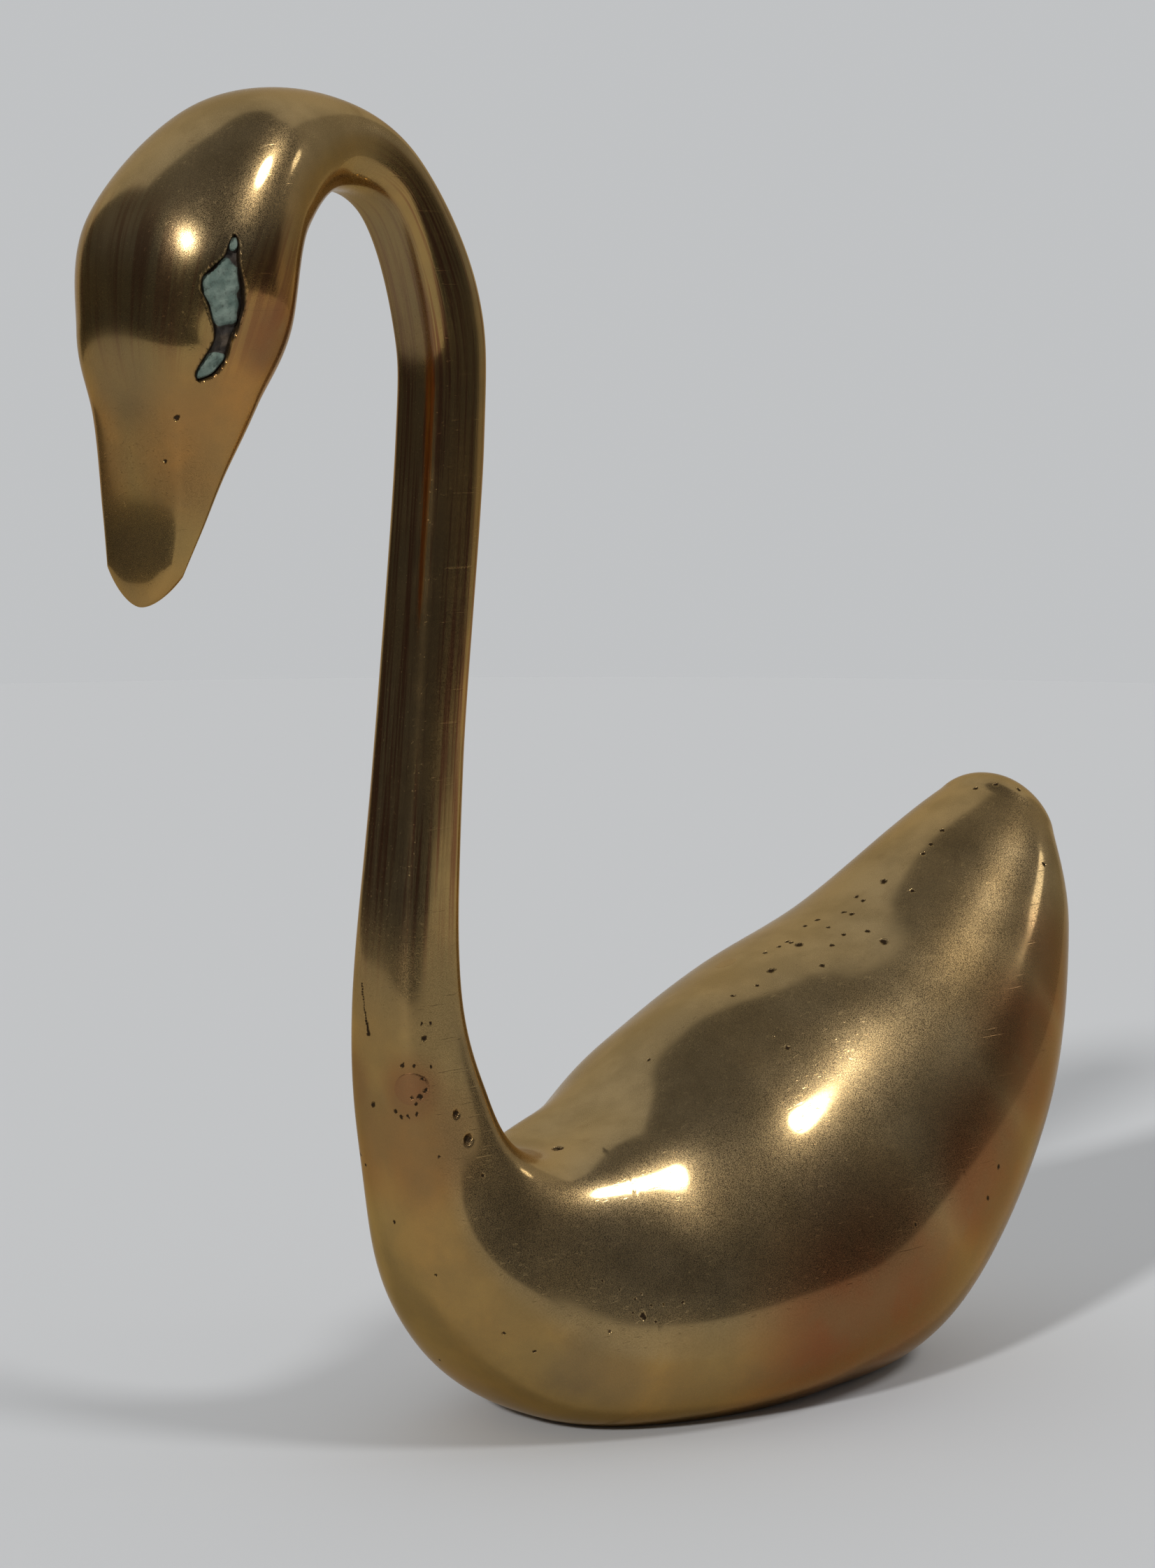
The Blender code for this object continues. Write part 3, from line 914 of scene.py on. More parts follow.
def make_tarnish_and_shade() -> Effect:
    """Make the colours of old brass: olive above, a darker orange below that is painted shade, redder in
    patches of tarnish and of painted reflected shade, with fine mottling.

    Returns:
        The effect, from a vector and the colour layers, painted shade among them, to a colour and a dullness.
    """
    shares = {name: "Float" for name in ("DownturnShade", "Blush", "Ember", "Warmth")}
    effect = Effect("old_brass_tarnish_and_shade", {"Vector": "Vector", **shares}, {"Color": "Color", "Dull": "Float"})
    graph, vector = effect.graph, effect.given["Vector"]
    broad = graph.noise(vector, 45.0, 3.0, 0.55)
    fine = graph.noise(vector, 420.0, 4.0, 0.6)
    # Olive above, and below a darker ochre and amber tint that is painted shade
    above = graph.mix(graph.ramp(broad, 0.35, 0.68), Tint.OLIVE.value, Tint.GOLD.value)
    below = graph.mix(graph.ramp(broad, 0.35, 0.68), Tint.OCHRE.value, Tint.AMBER.value)
    tint = graph.mix(effect.given["DownturnShade"], above, below)
    red = graph.math("ADD", effect.given["Blush"], effect.given["Warmth"])
    red = graph.math("MULTIPLY", red, graph.ramp(broad, 0.25, 0.60, 0.55, 1.0))
    tint = graph.mix(red, tint, Tint.ORANGE.value)
    # Red brown embers: tarnish, and painted reflected shade on the lower and rear flank
    ember = graph.math("MULTIPLY", effect.given["Ember"], graph.ramp(broad, 0.30, 0.55, 0.70, 1.0))
    tint = graph.mix(ember, tint, Tint.RED_BROWN.value)
    cloud = graph.ramp(graph.noise(vector, 115.0, 4.0, 0.6), 0.38, 0.66, 0.42, 0.0)
    tint = graph.mix(cloud, tint, Tint.CLOUD.value)
    stain = graph.ramp(fine, 0.58, 0.80, 0.0, 0.35)
    effect.give("Color", graph.mix(stain, tint, Tint.MOTTLE.value))
    effect.give("Dull", graph.ramp(graph.noise(vector, 160.0, 4.0, 0.6), 0.40, 0.75))
    return effect


def make_haze() -> Effect:
    """Make the fine polishing haze: short brushed noise along two headings, kept where it peaks.

    Returns:
        The effect, from a vector to a mask of the hazy specks.
    """
    effect = Effect("polishing_haze", {"Vector": "Vector"}, {"Mask": "Float"})
    graph, vector = effect.graph, effect.given["Vector"]
    total: object = 0.0
    for turn in ((0.4, 0.9, 0.3), (1.3, 0.1, 1.7)):
        lines = graph.noise(graph.stretched(vector, (9000.0, 30000.0, 30000.0), turn), 1.0, 0.0, 0.5)
        total = graph.math("MAXIMUM", total, graph.ramp(lines, 0.545, 0.615))
    effect.give("Mask", total)
    return effect


def make_handling() -> Effect:
    """Make the fine scratches of handling: noise stretched along three headings, kept where it peaks.

    Returns:
        The effect, from a vector to a height and a mask.
    """
    effect = Effect("handling_scratches", {"Vector": "Vector"}, {"Height": "Float", "Mask": "Float"})
    graph, vector = effect.graph, effect.given["Vector"]
    total: object = 0.0
    for turn in ((0.3, 0.5, 0.2), (1.2, 0.2, 1.0), (0.7, 1.3, 2.1)):
        lines = graph.noise(graph.stretched(vector, (60.0, 2600.0, 2600.0), turn), 1.0, 2.0, 0.6)
        total = graph.math("MAXIMUM", total, graph.ramp(lines, 0.66, 0.76))
    effect.give("Mask", total)
    effect.give("Height", graph.math("MULTIPLY", total, -1.0))
    return effect


def make_filing() -> Effect:
    """Make the long file and polishing marks that run along a bar, from its flow coordinates.

    Returns:
        The effect, from a flow vector to a height and a mask of dark streaks.
    """
    effect = Effect("filing_marks", {"Flow": "Vector"}, {"Height": "Float", "Streak": "Float"})
    graph, flow = effect.graph, effect.given["Flow"]
    coarse = graph.noise(graph.stretched(flow, (14.0, 14.0, 0.05)), 1.0, 3.0, 0.6)
    fine = graph.noise(graph.stretched(flow, (60.0, 60.0, 0.12)), 1.0, 2.0, 0.6)
    effect.give("Height", graph.math("MULTIPLY_ADD", fine, 0.5, coarse))
    broad = graph.noise(graph.stretched(flow, (7.0, 7.0, 0.03)), 1.0, 4.0, 0.65)
    effect.give("Streak", graph.ramp(broad, 0.46, 0.60))
    return effect


def settled(pits: tuple[Pit, ...], form: SwanForm) -> tuple[Pit, ...]:
    """Return the pits moved square to the skin until they lie on it, swells included.

    Args:
        pits: the pits near the skin.
        form: the swan's form.

    Returns:
        The moved pits.
    """
    places = form.spaced(0.0, form.station("bill_end"), 0.5)
    turns = np.broadcast_to(full_turn(240), (places.size, 240))
    points = form.rings(places, turns)
    normals = grid_normals(points).reshape(-1, 3)
    points = points.reshape(-1, 3) + rise(points, form.shift_x).reshape(-1, 1) * normals
    moved = []
    for pit in pits:
        centre = np.array([pit.x + form.shift_x, pit.y, pit.z])
        near = np.argmin(np.sum((points - centre) ** 2, axis=-1))
        x, y, z = centre + normals[near] * ((points[near] - centre) @ normals[near])
        moved.append(Pit(x - form.shift_x, y, z, pit.radius))
    return tuple(moved)


def make_pits(form: SwanForm) -> Effect:
    """Make the dark casting pits: the nearest of the listed pits, as a soft disc of its radius.

    Args:
        form: the swan's form, which the pits are settled on.

    Returns:
        The effect, from a vector to a mask.
    """
    effect = Effect("casting_pits", {"Vector": "Vector"}, {"Mask": "Float"})
    graph, vector = effect.graph, effect.given["Vector"]
    ragged = graph.add("TexNoise", {"Vector": vector, "Scale": 2600.0, "Detail": 2.0}).outputs["Color"]
    ragged = graph.vector("SUBTRACT", ragged, (0.5, 0.5, 0.5))
    ragged = graph.vector("MULTIPLY_ADD", ragged, (0.5 * MM,) * 3, vector)
    total: object = 0.0
    for pit in settled(NECK_PITS + FOLD_PITS + BELLY_PITS + BACK_PITS + HEAD_PITS, form):
        centre = ((pit.x + form.shift_x) * MM, pit.y * MM, pit.z * MM)
        gap = graph.vector("DISTANCE", ragged, centre, output="Value")
        disc = graph.ramp(gap, 0.5 * pit.radius * MM, 1.1 * pit.radius * MM, 1.0, 0.0)
        total = graph.math("MAXIMUM", total, disc)
    effect.give("Mask", total)
    return effect


def make_pinholes() -> Effect:
    """Make the scattered pinholes of a casting: cells of a random lattice, few of them open.

    Returns:
        The effect, from a vector and an amount to a mask.
    """
    effect = Effect("casting_pinholes", {"Vector": "Vector", "Amount": "Float"}, {"Mask": "Float"})
    graph, vector = effect.graph, effect.given["Vector"]
    cells = graph.add("TexVoronoi", {"Vector": vector, "Scale": 420.0}, feature="F1")
    open_cell = graph.math("LESS_THAN", graph.add("SeparateColor", {0: cells.outputs["Color"]}).outputs[0],
                           effect.given["Amount"])
    hole = graph.ramp(cells.outputs["Distance"], 0.04, 0.11, 1.0, 0.0)
    effect.give("Mask", graph.math("MULTIPLY", hole, open_cell))
    return effect


def start_material(name: str) -> tuple[bpy.types.Material, Graph]:
    """Make a material with no nodes yet.

    Args:
        name: the material's name.

    Returns:
        The material and its graph.
    """
    material = bpy.data.materials.new(name)
    material.use_nodes = True
    material.node_tree.nodes.clear()
    return material, Graph(material.node_tree)


@dataclass(frozen=True)
class BrassFinish:
    """Old polished brass with tarnish, painted shade on faces that turn down, scratches, file marks and pits.

    Attributes:
        name: the material's name.
        grade: how worn it is.
        roughness: the roughness of its polished parts.
        warmth: how far its tint leans to orange.
        pinholes: the share of lattice cells that hold a pinhole.
        filing: how deep the marks of its filed parts are, in millimetres.
        haze: how much rougher its hazy specks are.
        streak: how strong the dark streaks of its filed parts are.
        ember: how far its tint leans to dark red brown all over.
        edge: the tint of what it mirrors at a grazing angle.
    """

    name: str
    grade: Grade
    roughness: float
    warmth: float
    pinholes: float
    filing: float = 0.012
    haze: float = 0.26
    streak: float = 0.85
    ember: float = 0.0
    edge: Colour = (0.80, 0.67, 0.50, 1.0)

    def make(self, effects: dict[str, Effect]) -> bpy.types.Material:
        """Make the material.

        Args:
            effects: the shared effects by name.

        Returns:
            The finished material.
        """
        material, graph = start_material(self.name)
        vector = graph.add("TexCoord").outputs["Object"]
        flow = graph.layer("flow", "Vector")
        hollow = graph.layer("hollow")
        layers = {name: graph.layer(name) for name in ("downturn_shade", "blush", "ember", "patina", "filed")}
        ember = graph.math("MAXIMUM", layers["ember"], self.ember)
        shares = {"DownturnShade": layers["downturn_shade"], "Blush": layers["blush"], "Ember": ember, "Warmth": self.warmth}
        # Brass tint: tarnish, with painted shade on faces that turn down
        tarnish_and_shade = effects["tarnish_and_shade"].place(graph, {"Vector": vector, **shares})
        haze = effects["haze"].place(graph, {"Vector": vector})
        scratches = effects["handling"].place(graph, {"Vector": vector})
        filing = effects["filing"].place(graph, {"Flow": flow})
        pits = effects["pits"].place(graph, {"Vector": vector})
        holes = effects["pinholes"].place(graph, {"Vector": vector, "Amount": self.pinholes})
        pitted = graph.math("MAXIMUM", pits.outputs["Mask"], holes.outputs["Mask"])
        colour = graph.mix(pitted, tarnish_and_shade.outputs["Color"], Tint.PIT.value)
        colour = graph.mix(hollow, colour, Tint.EYE_HOLLOW.value)
        streak = graph.math("MULTIPLY", filing.outputs["Streak"], self.streak)
        streak = graph.math("MULTIPLY", streak, layers["filed"])
        colour = graph.mix(streak, colour, Tint.STREAK.value)
        colour = graph.mix(layers["patina"], colour, Tint.PATINA.value)
        rough = graph.math("MULTIPLY_ADD", tarnish_and_shade.outputs["Dull"], 0.03, self.roughness)
        hazy = graph.ramp(layers["filed"], 0.0, 1.0, self.haze, 0.4 * self.haze)
        rough = graph.math("MULTIPLY_ADD", haze.outputs["Mask"], hazy, rough)
        rough = graph.math("MULTIPLY_ADD", layers["patina"], 0.25, rough)
        rough = graph.math("MULTIPLY_ADD", scratches.outputs["Mask"], 0.10 * self.grade.value, rough)
        rough = graph.math("MULTIPLY_ADD", graph.math("MAXIMUM", pitted, hollow), 0.4, rough)
        height = graph.math("MULTIPLY", filing.outputs["Height"], self.filing)
        height = graph.math("MULTIPLY", height, layers["filed"])
        nick = graph.ramp(layers["filed"], 0.0, 1.0, 0.004 * self.grade.value, 0.001)
        height = graph.math("MULTIPLY_ADD", scratches.outputs["Height"], nick, height)
        height = graph.math("MULTIPLY_ADD", pitted, -0.15, height)
        grit = graph.math("MULTIPLY", graph.noise(vector, 3000.0, 3.0), graph.math("MULTIPLY", hollow, 0.12))
        height = graph.math("ADD", height, grit)
        bump = graph.add("Bump", {"Strength": 1.0, "Distance": MM, "Height": height})
        sockets = {"Base Color": colour, "Metallic": 1.0, "Roughness": rough, "Normal": bump.outputs[0]}
        graph.end(graph.add("BsdfPrincipled", {**sockets, "Specular Tint": self.edge}))
        return material


@dataclass(frozen=True)
class CrustFinish:
    """The pale green crust and dark patina that lie in an eye hollow.

    Attributes:
        name: the material's name.
    """

    name: str = "eye_crust"

    def make(self) -> bpy.types.Material:
        """Make the material: patina where the crust attribute is low, pale grainy crust where it is high.

        Returns:
            The finished material.
        """
        material, graph = start_material(self.name)
        vector = graph.add("TexCoord").outputs["Object"]
        crust = graph.layer("crust")
        grain = graph.noise(vector, 2400.0, 4.0, 0.65)
        blotch = graph.noise(vector, 700.0, 3.0, 0.6)
        edge = graph.math("ADD", crust, graph.math("MULTIPLY_ADD", grain, 0.5, -0.25))
        share = graph.ramp(edge, 0.35, 0.60)
        pale = graph.mix(graph.ramp(blotch, 0.35, 0.65), Tint.CRUST.value, Tint.PALE_CRUST.value)
        pale = graph.mix(graph.ramp(grain, 0.30, 0.48, 0.7, 0.0), pale, Tint.CRUST_GRAIN.value)
        dark = graph.mix(graph.ramp(blotch, 0.4, 0.7), Tint.EYE_BED.value, Tint.PALE_EYE_BED.value)
        height = graph.math("MULTIPLY", graph.math("ADD", grain, blotch), 0.10)
        bump = graph.add("Bump", {"Strength": 1.0, "Distance": MM, "Height": height})
        sockets = {"Base Color": graph.mix(share, dark, pale), "Roughness": 0.75, "Normal": bump.outputs[0]}
        graph.end(graph.add("BsdfPrincipled", sockets))
        return material


@dataclass
class Piece:
    """A finished piece that stands for one node of the part.

    Attributes:
        form: the swan's form.
        name: the piece's name.
        node: the node that it stands for.
        slot: the name of a material slot, which is not used.
    """

    form: SwanForm
    name: str
    node: str
    slot: str

    def build(self) -> bpy.types.Object:
        """Build the piece's mesh object.

        Returns:
            The object.
        """
        raise NotImplementedError

    def dress(self, thing: bpy.types.Object, material: bpy.types.Material) -> None:
        """Give the piece its finish and its place in the frame.

        Args:
            thing: the built object.
            material: its finish.
        """
        thing.data.materials.append(material)
        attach(thing, "root")
        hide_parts(self.node)
        LOG.info("%s: %d points, %d faces", self.name, len(thing.data.vertices), len(thing.data.polygons))


@dataclass
class BodyPiece(Piece):
    """The hollow body from the tail to the root of the neck.

    Attributes:
        step: the row spacing of the broad parts.
        fine_step: the row spacing of the neck root, where the pits are.
        columns: the number of points round a row.
        hole_centre_x: the middle of the base hole along the swan.
        hole_length: the length of the base hole.
        hole_width: the width of the base hole.
        wall: the thickness of the wall.
    """

    step: float = 0.6
    fine_step: float = 0.2
    columns: int = 232
    hole_centre_x: float = 18.0
    hole_length: float = 34.0
    hole_width: float = 14.0
    wall: float = 3.2

    def rows(self) -> np.ndarray:
        """Return the places of the rows, with one where the belly first and last meets the base.

        Returns:
            The places in order.
        """
        form = self.form
        broad = form.spaced(0.0, form.station("breast") + 0.6, self.step)
        close = form.spaced(form.station("breast") + 0.6, form.station("neck_low"), self.fine_step)[1:]
        end = form.station("neck_low") - JOINT_ROWS
        fine = np.linspace(0, form.station("throat"), 20001)
        level = form.values(fine)[:, 3]
        cross = fine[:-1][np.sign(level[:-1]) != np.sign(level[1:])]
        return np.unique(np.concatenate([broad, close, end, cross]))

    def build(self) -> bpy.types.Object:
        """Build the skin cut off at the base, the base with its hole, and the hollow above it.

        The skin's rows run from one side of the cut to the other below, so the cut is straight.

        Returns:
            The object.
        """
        form, surface = self.form, Surface()
        places = self.rows()
        low = form.turn_at(places, 0.0)
        cut = low > -math.pi / 2 + 1e-4
        low = np.where(cut, low, -math.pi / 2)
        share = np.linspace(0.0, 1.0, self.columns)
        turns = low[:, None] + (math.pi - 2 * low)[:, None] * share
        points = form.rings(places, turns)
        points[cut, 0, 2] = 0.0
        points[cut, -1, 2] = 0.0
        tail = form.rounding(0.0, 0.05, form.tail_rounding, 22, -math.pi / 2 + 2 * math.pi * share)[::-1]
        flow = flow_of(places, turns, form)
        flow = np.concatenate([np.broadcast_to(flow[0], tail.shape), flow])
        points = np.concatenate([tail, points])
        cut = np.concatenate([np.zeros(len(tail), dtype=bool), cut])
        points = points + rise(points, form.shift_x)[..., None] * grid_normals(points)
        points = dented(points, settled(NECK_PITS, form), form.shift_x)
        layers = tones(points, form.shift_x)
        numbers = surface.add_points(points, flow=flow, **layers)
        numbers[~cut, -1] = numbers[~cut, 0]
        surface.add_quads(numbers)
        ends = {name: layer[0, :1] for name, layer in layers.items()}
        surface.add_fan(numbers[0, :-1], points[0, :-1].mean(axis=0), flip=True, flow=flow[0, :1], **ends)
        surface.add_fan(numbers[-1, :-1], points[-1, :-1].mean(axis=0), flow=flow[-1, :1])
        self.add_base(surface, numbers, cut)
        return surface.make(self.name)

    def add_base(self, surface: Surface, numbers: np.ndarray, cut: np.ndarray) -> None:
        """Add the flat base, the oval hole in it and the hollow above.

        The base runs from the cut edge to an oval at the same headings; the hollow is the oval carried
        up while it swells and closes.

        Args:
            surface: the surface that is added to.
            numbers: the skin's point numbers.
            cut: the rows that meet the base.
        """
        span = np.flatnonzero(cut)
        first, last = span[0] - 1, span[-1] + 1
        edge = np.concatenate([numbers[span, 0], numbers[last:last + 1, 0], numbers[span, -1][::-1],
                               numbers[first:first + 1, 0]])
        flat = np.concatenate(surface.points)[edge]
        centre = np.array([self.hole_centre_x + self.form.shift_x, 0.0, 0.0])
        half = np.array([self.hole_length / 2, self.hole_width / 2])
        heading = np.arctan2((flat[:, 1] - centre[1]) / half[1], (flat[:, 0] - centre[0]) / half[0])
        oval = np.stack([np.cos(heading) * half[0], np.sin(heading) * half[1], 0 * heading], axis=-1)
        level = np.array([0.0, self.wall, self.wall + 2.0, 10.0, 18.0, 24.0, 28.0])
        longer = np.array([1.0, 1.0, 1.18, 1.25, 1.1, 0.75, 0.35])
        wider = np.array([1.0, 1.0, 1.6, 1.95, 1.75, 1.2, 0.55])
        hollow = centre + oval[None] * np.stack([longer, wider, 0 * level], axis=-1)[:, None, :]
        hollow[..., 2] = level[:, None]
        grid = surface.add_points(hollow)
        surface.add_quads(np.concatenate([edge[None], grid]), wrap=True, flip=True)
        surface.add_fan(grid[-1], centre + np.array([0, 0, 29.0]), flip=True)


@dataclass
class NeckPiece(Piece):
    """The bar of the neck from its root to the nape.

    Attributes:
        step: the row spacing.
        columns: the number of points round a row.
        fade: how far from its joints its file marks reach their full strength.
    """

    step: float = 0.36
    columns: int = 208
    fade: float = 14.0

    def build(self) -> bpy.types.Object:
        """Build the bar's skin and close it with a flat cap at each joint.

        Returns:
            The object.
        """
        form, surface = self.form, Surface()
        first, last = form.station("neck_low"), form.station("nape")
        ends = np.concatenate([first + JOINT_ROWS, last - JOINT_ROWS])
        places = np.unique(np.concatenate([form.spaced(first, last, self.step), ends]))
        turn = full_turn(self.columns)
        turns = np.broadcast_to(turn, (places.size, self.columns))
        points = form.rings(places, turns)
        points = points + rise(points, form.shift_x)[..., None] * grid_normals(points)
        flow = flow_of(places, turns, form)
        run = flow[:, 0, 2] - flow[0, 0, 2]
        filed = soft_step(run, 0.0, self.fade) * soft_step(run[-1] - run, 0.0, self.fade)
        filed = np.broadcast_to(filed[:, None], turns.shape)
        numbers = surface.add_points(points, flow=flow, filed=filed, **tones(points, form.shift_x))
        surface.add_quads(numbers, wrap=True)
        surface.add_fan(numbers[0], points[0].mean(axis=0), flip=True, flow=flow[0, :1])
        surface.add_fan(numbers[-1], points[-1].mean(axis=0), flow=flow[-1, :1])
        return surface.make(self.name)


@dataclass(frozen=True)
class EyeShape:
    """The outline of an eye hollow and the directions that it lies along, in millimetres.

    Attributes:
        centre: the middle of the hollow.
        axis: its outward direction.
        lean: how far its long line leans forward.
        depth: how deep it is.
        along: places along its long line, from the top.
        wide: its half width at those places.
        bend: how far its middle lies across from the long line at those places.
    """

    centre: Triple = (-52.2, -10.0, 110.1)
    axis: Triple = (-0.50, -0.86, -0.08)
    lean: float = 0.16
    depth: float = 1.6
    along: tuple[float, ...] = (
        -6.4, -6.0, -5.5, -4.5, -3.4, -2.4, -1.3, -0.3, 0.7, 1.8, 2.8, 3.8, 4.9, 5.9, 6.3, 6.5,
    )
    wide: tuple[float, ...] = (
        0.0, 0.35, 0.5, 0.6, 1.25, 1.85, 1.92, 1.65, 1.35, 1.0, 0.7, 0.9, 1.0, 0.85, 0.45, 0.0,
    )
    bend: tuple[float, ...] = (
        0.45, 0.42, 0.4, 0.34, 0.0, -0.2, -0.07, 0.35, 0.5, 0.63, 0.5, 0.3, -0.1, -0.6, -0.9, -1.05,
    )

    def directions(self) -> tuple[np.ndarray, np.ndarray, np.ndarray]:
        """Return the outward, down and across directions of the left eye.

        Returns:
            Three unit vectors.
        """
        outward = unit(self.axis)
        down = np.array([-self.lean, 0.0, -1.0])
        down = unit(tuple(down - outward * (down @ outward)))
        return outward, down, np.cross(outward, down)

    def smooth(self, u: np.ndarray, values: tuple[float, ...]) -> np.ndarray:
        """Return a listed value at places along the hollow, rounded by a short bell-shaped mean.

        Args:
            u: places along the long line.
            values: the value at each listed place.

        Returns:
            One value per place.
        """
        fine = np.linspace(-8.0, 8.0, 321)
        bell = np.hanning(27)
        listed = np.pad(np.interp(fine, self.along, values), 13, mode="edge")
        return np.interp(u, fine, np.convolve(listed, bell / bell.sum(), mode="valid"))

    def half_width(self, u: np.ndarray) -> np.ndarray:
        """Return the half width at places along the hollow, below zero past its ends.

        Args:
            u: places along the long line.

        Returns:
            One half width per place.
        """
        return self.smooth(u, self.wide) - 4.0 * np.maximum(np.abs(u - 0.05) - 6.45, 0.0)

    def middle(self, u: np.ndarray) -> np.ndarray:
        """Return how far the hollow's middle lies across at places along it.

        Args:
            u: places along the long line.

        Returns:
            One offset per place.
        """
        return self.smooth(u, self.bend)

    def gap(self, points: np.ndarray, shift_x: float) -> np.ndarray:
        """Return how far points lie outside the outline, below zero inside, and far for points behind.

        Args:
            points: points in millimetres on the left side.
            shift_x: what is added to the centre's x.

        Returns:
            One distance per point.
        """
        outward, down, across = self.directions()
        offset = points - (np.array(self.centre) + np.array([shift_x, 0, 0]))
        u = offset @ down
        outside = np.abs(offset @ across - self.middle(u)) - self.half_width(u)
        return np.where(offset @ outward > -6.0, outside, 9.0)


@dataclass
class HeadPiece(Piece):
    """The head and bill, with a carved hollow for each eye.

    Attributes:
        eye: the shape of the left eye hollow.
        step: the row spacing of the plain parts.
        fine_step: the row spacing round the eyes.
        columns: the number of points round a row.
    """

    eye: EyeShape = field(default_factory=EyeShape)
    step: float = 0.5
    fine_step: float = 0.15
    columns: int = 260

    def build(self) -> bpy.types.Object:
        """Build the skin, sink the eye hollows along their axes, round the bill and cap the nape.

        Returns:
            The object.
        """
        form, surface = self.form, Surface()
        first, last = form.station("nape"), form.station("bill_end")
        brow, cheek = form.station("crown") + 0.6, form.station("cheek") + 0.8
        runs = ((first, brow, self.step), (brow, cheek, self.fine_step), (cheek, last, self.step))
        places = np.unique(np.concatenate([form.spaced(*run) for run in runs] + [first + JOINT_ROWS]))
        turn = full_turn(self.columns)
        turns = np.broadcast_to(turn, (places.size, self.columns))
        bill = form.rounding(last, last - 0.05, form.bill_rounding, 20, turn, 0.4)
        points = np.concatenate([form.rings(places, turns), bill])
        flow = flow_of(places, turns, form)
        flow = np.concatenate([flow, np.broadcast_to(flow[-1], bill.shape)])
        left = points * np.array([1.0, -1.0, 1.0])
        outward = self.eye.directions()[0]
        mirrored = np.where(points[..., 1:2] > 0, left, points)
        layers = tones(points, form.shift_x)
        gap = self.eye.gap(mirrored, form.shift_x)
        sunk = 1 - soft_step(gap, -0.35, 0.12)
        axis = np.where(points[..., 1:2] > 0, outward * np.array([1.0, -1.0, 1.0]), outward)
        points = points - axis * (sunk * (self.eye.depth - 0.5))[..., None]
        hollow = 1 - soft_step(gap, 0.0, 0.22)
        points = dented(points, HEAD_PITS, form.shift_x)
        layers["filed"] = spread(points, STREAKS, form.shift_x) * (1 - hollow)
        numbers = surface.add_points(points, flow=flow, hollow=hollow, **layers)
        surface.add_quads(numbers, wrap=True)
        surface.add_fan(numbers[0], points[0].mean(axis=0), flip=True, flow=flow[0, :1])
        ends = {name: layer[-1, :1] for name, layer in layers.items()}
        surface.add_fan(numbers[-1], points[-1].mean(axis=0), flow=flow[-1, :1], **ends)
        return surface.make(self.name)


@dataclass
class EyeFillPiece(Piece):
    """The crust that fills one eye hollow.

    Attributes:
        half: the side that it sits on.
        eye: the shape of the left eye hollow.
        rows: the number of rows along the eye.
        columns: the number of points across it.
    """

    half: Half = Half.LEFT
    eye: EyeShape = field(default_factory=EyeShape)
    rows: int = 110
    columns: int = 36

    def crust(self, u: np.ndarray, v: np.ndarray) -> np.ndarray:
        """Return how much pale crust lies at an offset: three soft patches with ragged edges.

        Args:
            u: offsets along the eye in millimetres.
            v: offsets across it.

        Returns:
            A share from 0 to 1 per point.
        """
        patches = ((-1.3, -0.25, 3.0, 1.6), (-5.6, 0.0, 0.7, 0.42), (5.0, -0.1, 1.3, 0.8))
        ragged = 0.25 * waves(np.stack([u, v, 0 * u], axis=-1), 1.6, 11)
        total = np.zeros(u.shape)
        for along, across, long, wide in patches:
            gap = np.sqrt(((u - along) / long) ** 2 + ((v - across) / wide) ** 2) + ragged
            total = np.maximum(total, 1 - soft_step(gap, 0.7, 1.15))
        return total

    def build(self) -> bpy.types.Object:
        """Build the crust: strips of points across the hollow, sunk by their own height, over a bed.

        Returns:
            The object.
        """
        form, surface = self.form, Surface()
        outward, down, across = self.eye.directions()
        centre = np.array(self.eye.centre) + np.array([form.shift_x, 0, 0])
        along = np.linspace(self.eye.along[0] + 0.12, self.eye.along[-1] - 0.12, self.rows)[:, None]
        share = np.linspace(-0.96, 0.96, self.columns)[None, :]
        u = np.broadcast_to(along, (self.rows, self.columns))
        v = self.eye.middle(u) + share * self.eye.half_width(u)
        skin = form.patch(centre, down, across, u, v, (form.station("brow") + 0.45, math.radians(200)))
        crust = self.crust(u, v - self.eye.middle(u))
        rough = waves(skin, 0.9, 5)
        sink = 0.75 - 0.45 * crust + 0.07 * rough + 0.12 * soft_step(np.abs(share), 0.7, 0.96)
        top = skin - outward * sink[..., None]
        bed = (skin - outward * (self.eye.depth - 0.1))[:, ::-1]
        mirror = np.array([1.0, float(self.half.value), 1.0])
        flip = self.half is Half.RIGHT
        points = np.concatenate([top, bed], axis=1) * mirror
        grid = surface.add_points(points, crust=np.concatenate([crust, 0 * crust], axis=1))
        surface.add_quads(grid, wrap=True, flip=flip)
        surface.add_fan(grid[0], points[0].mean(axis=0), flip=not flip, crust=crust[:1, :1])
        surface.add_fan(grid[-1], points[-1].mean(axis=0), flip=flip, crust=crust[:1, :1])
        return surface.make(self.name)


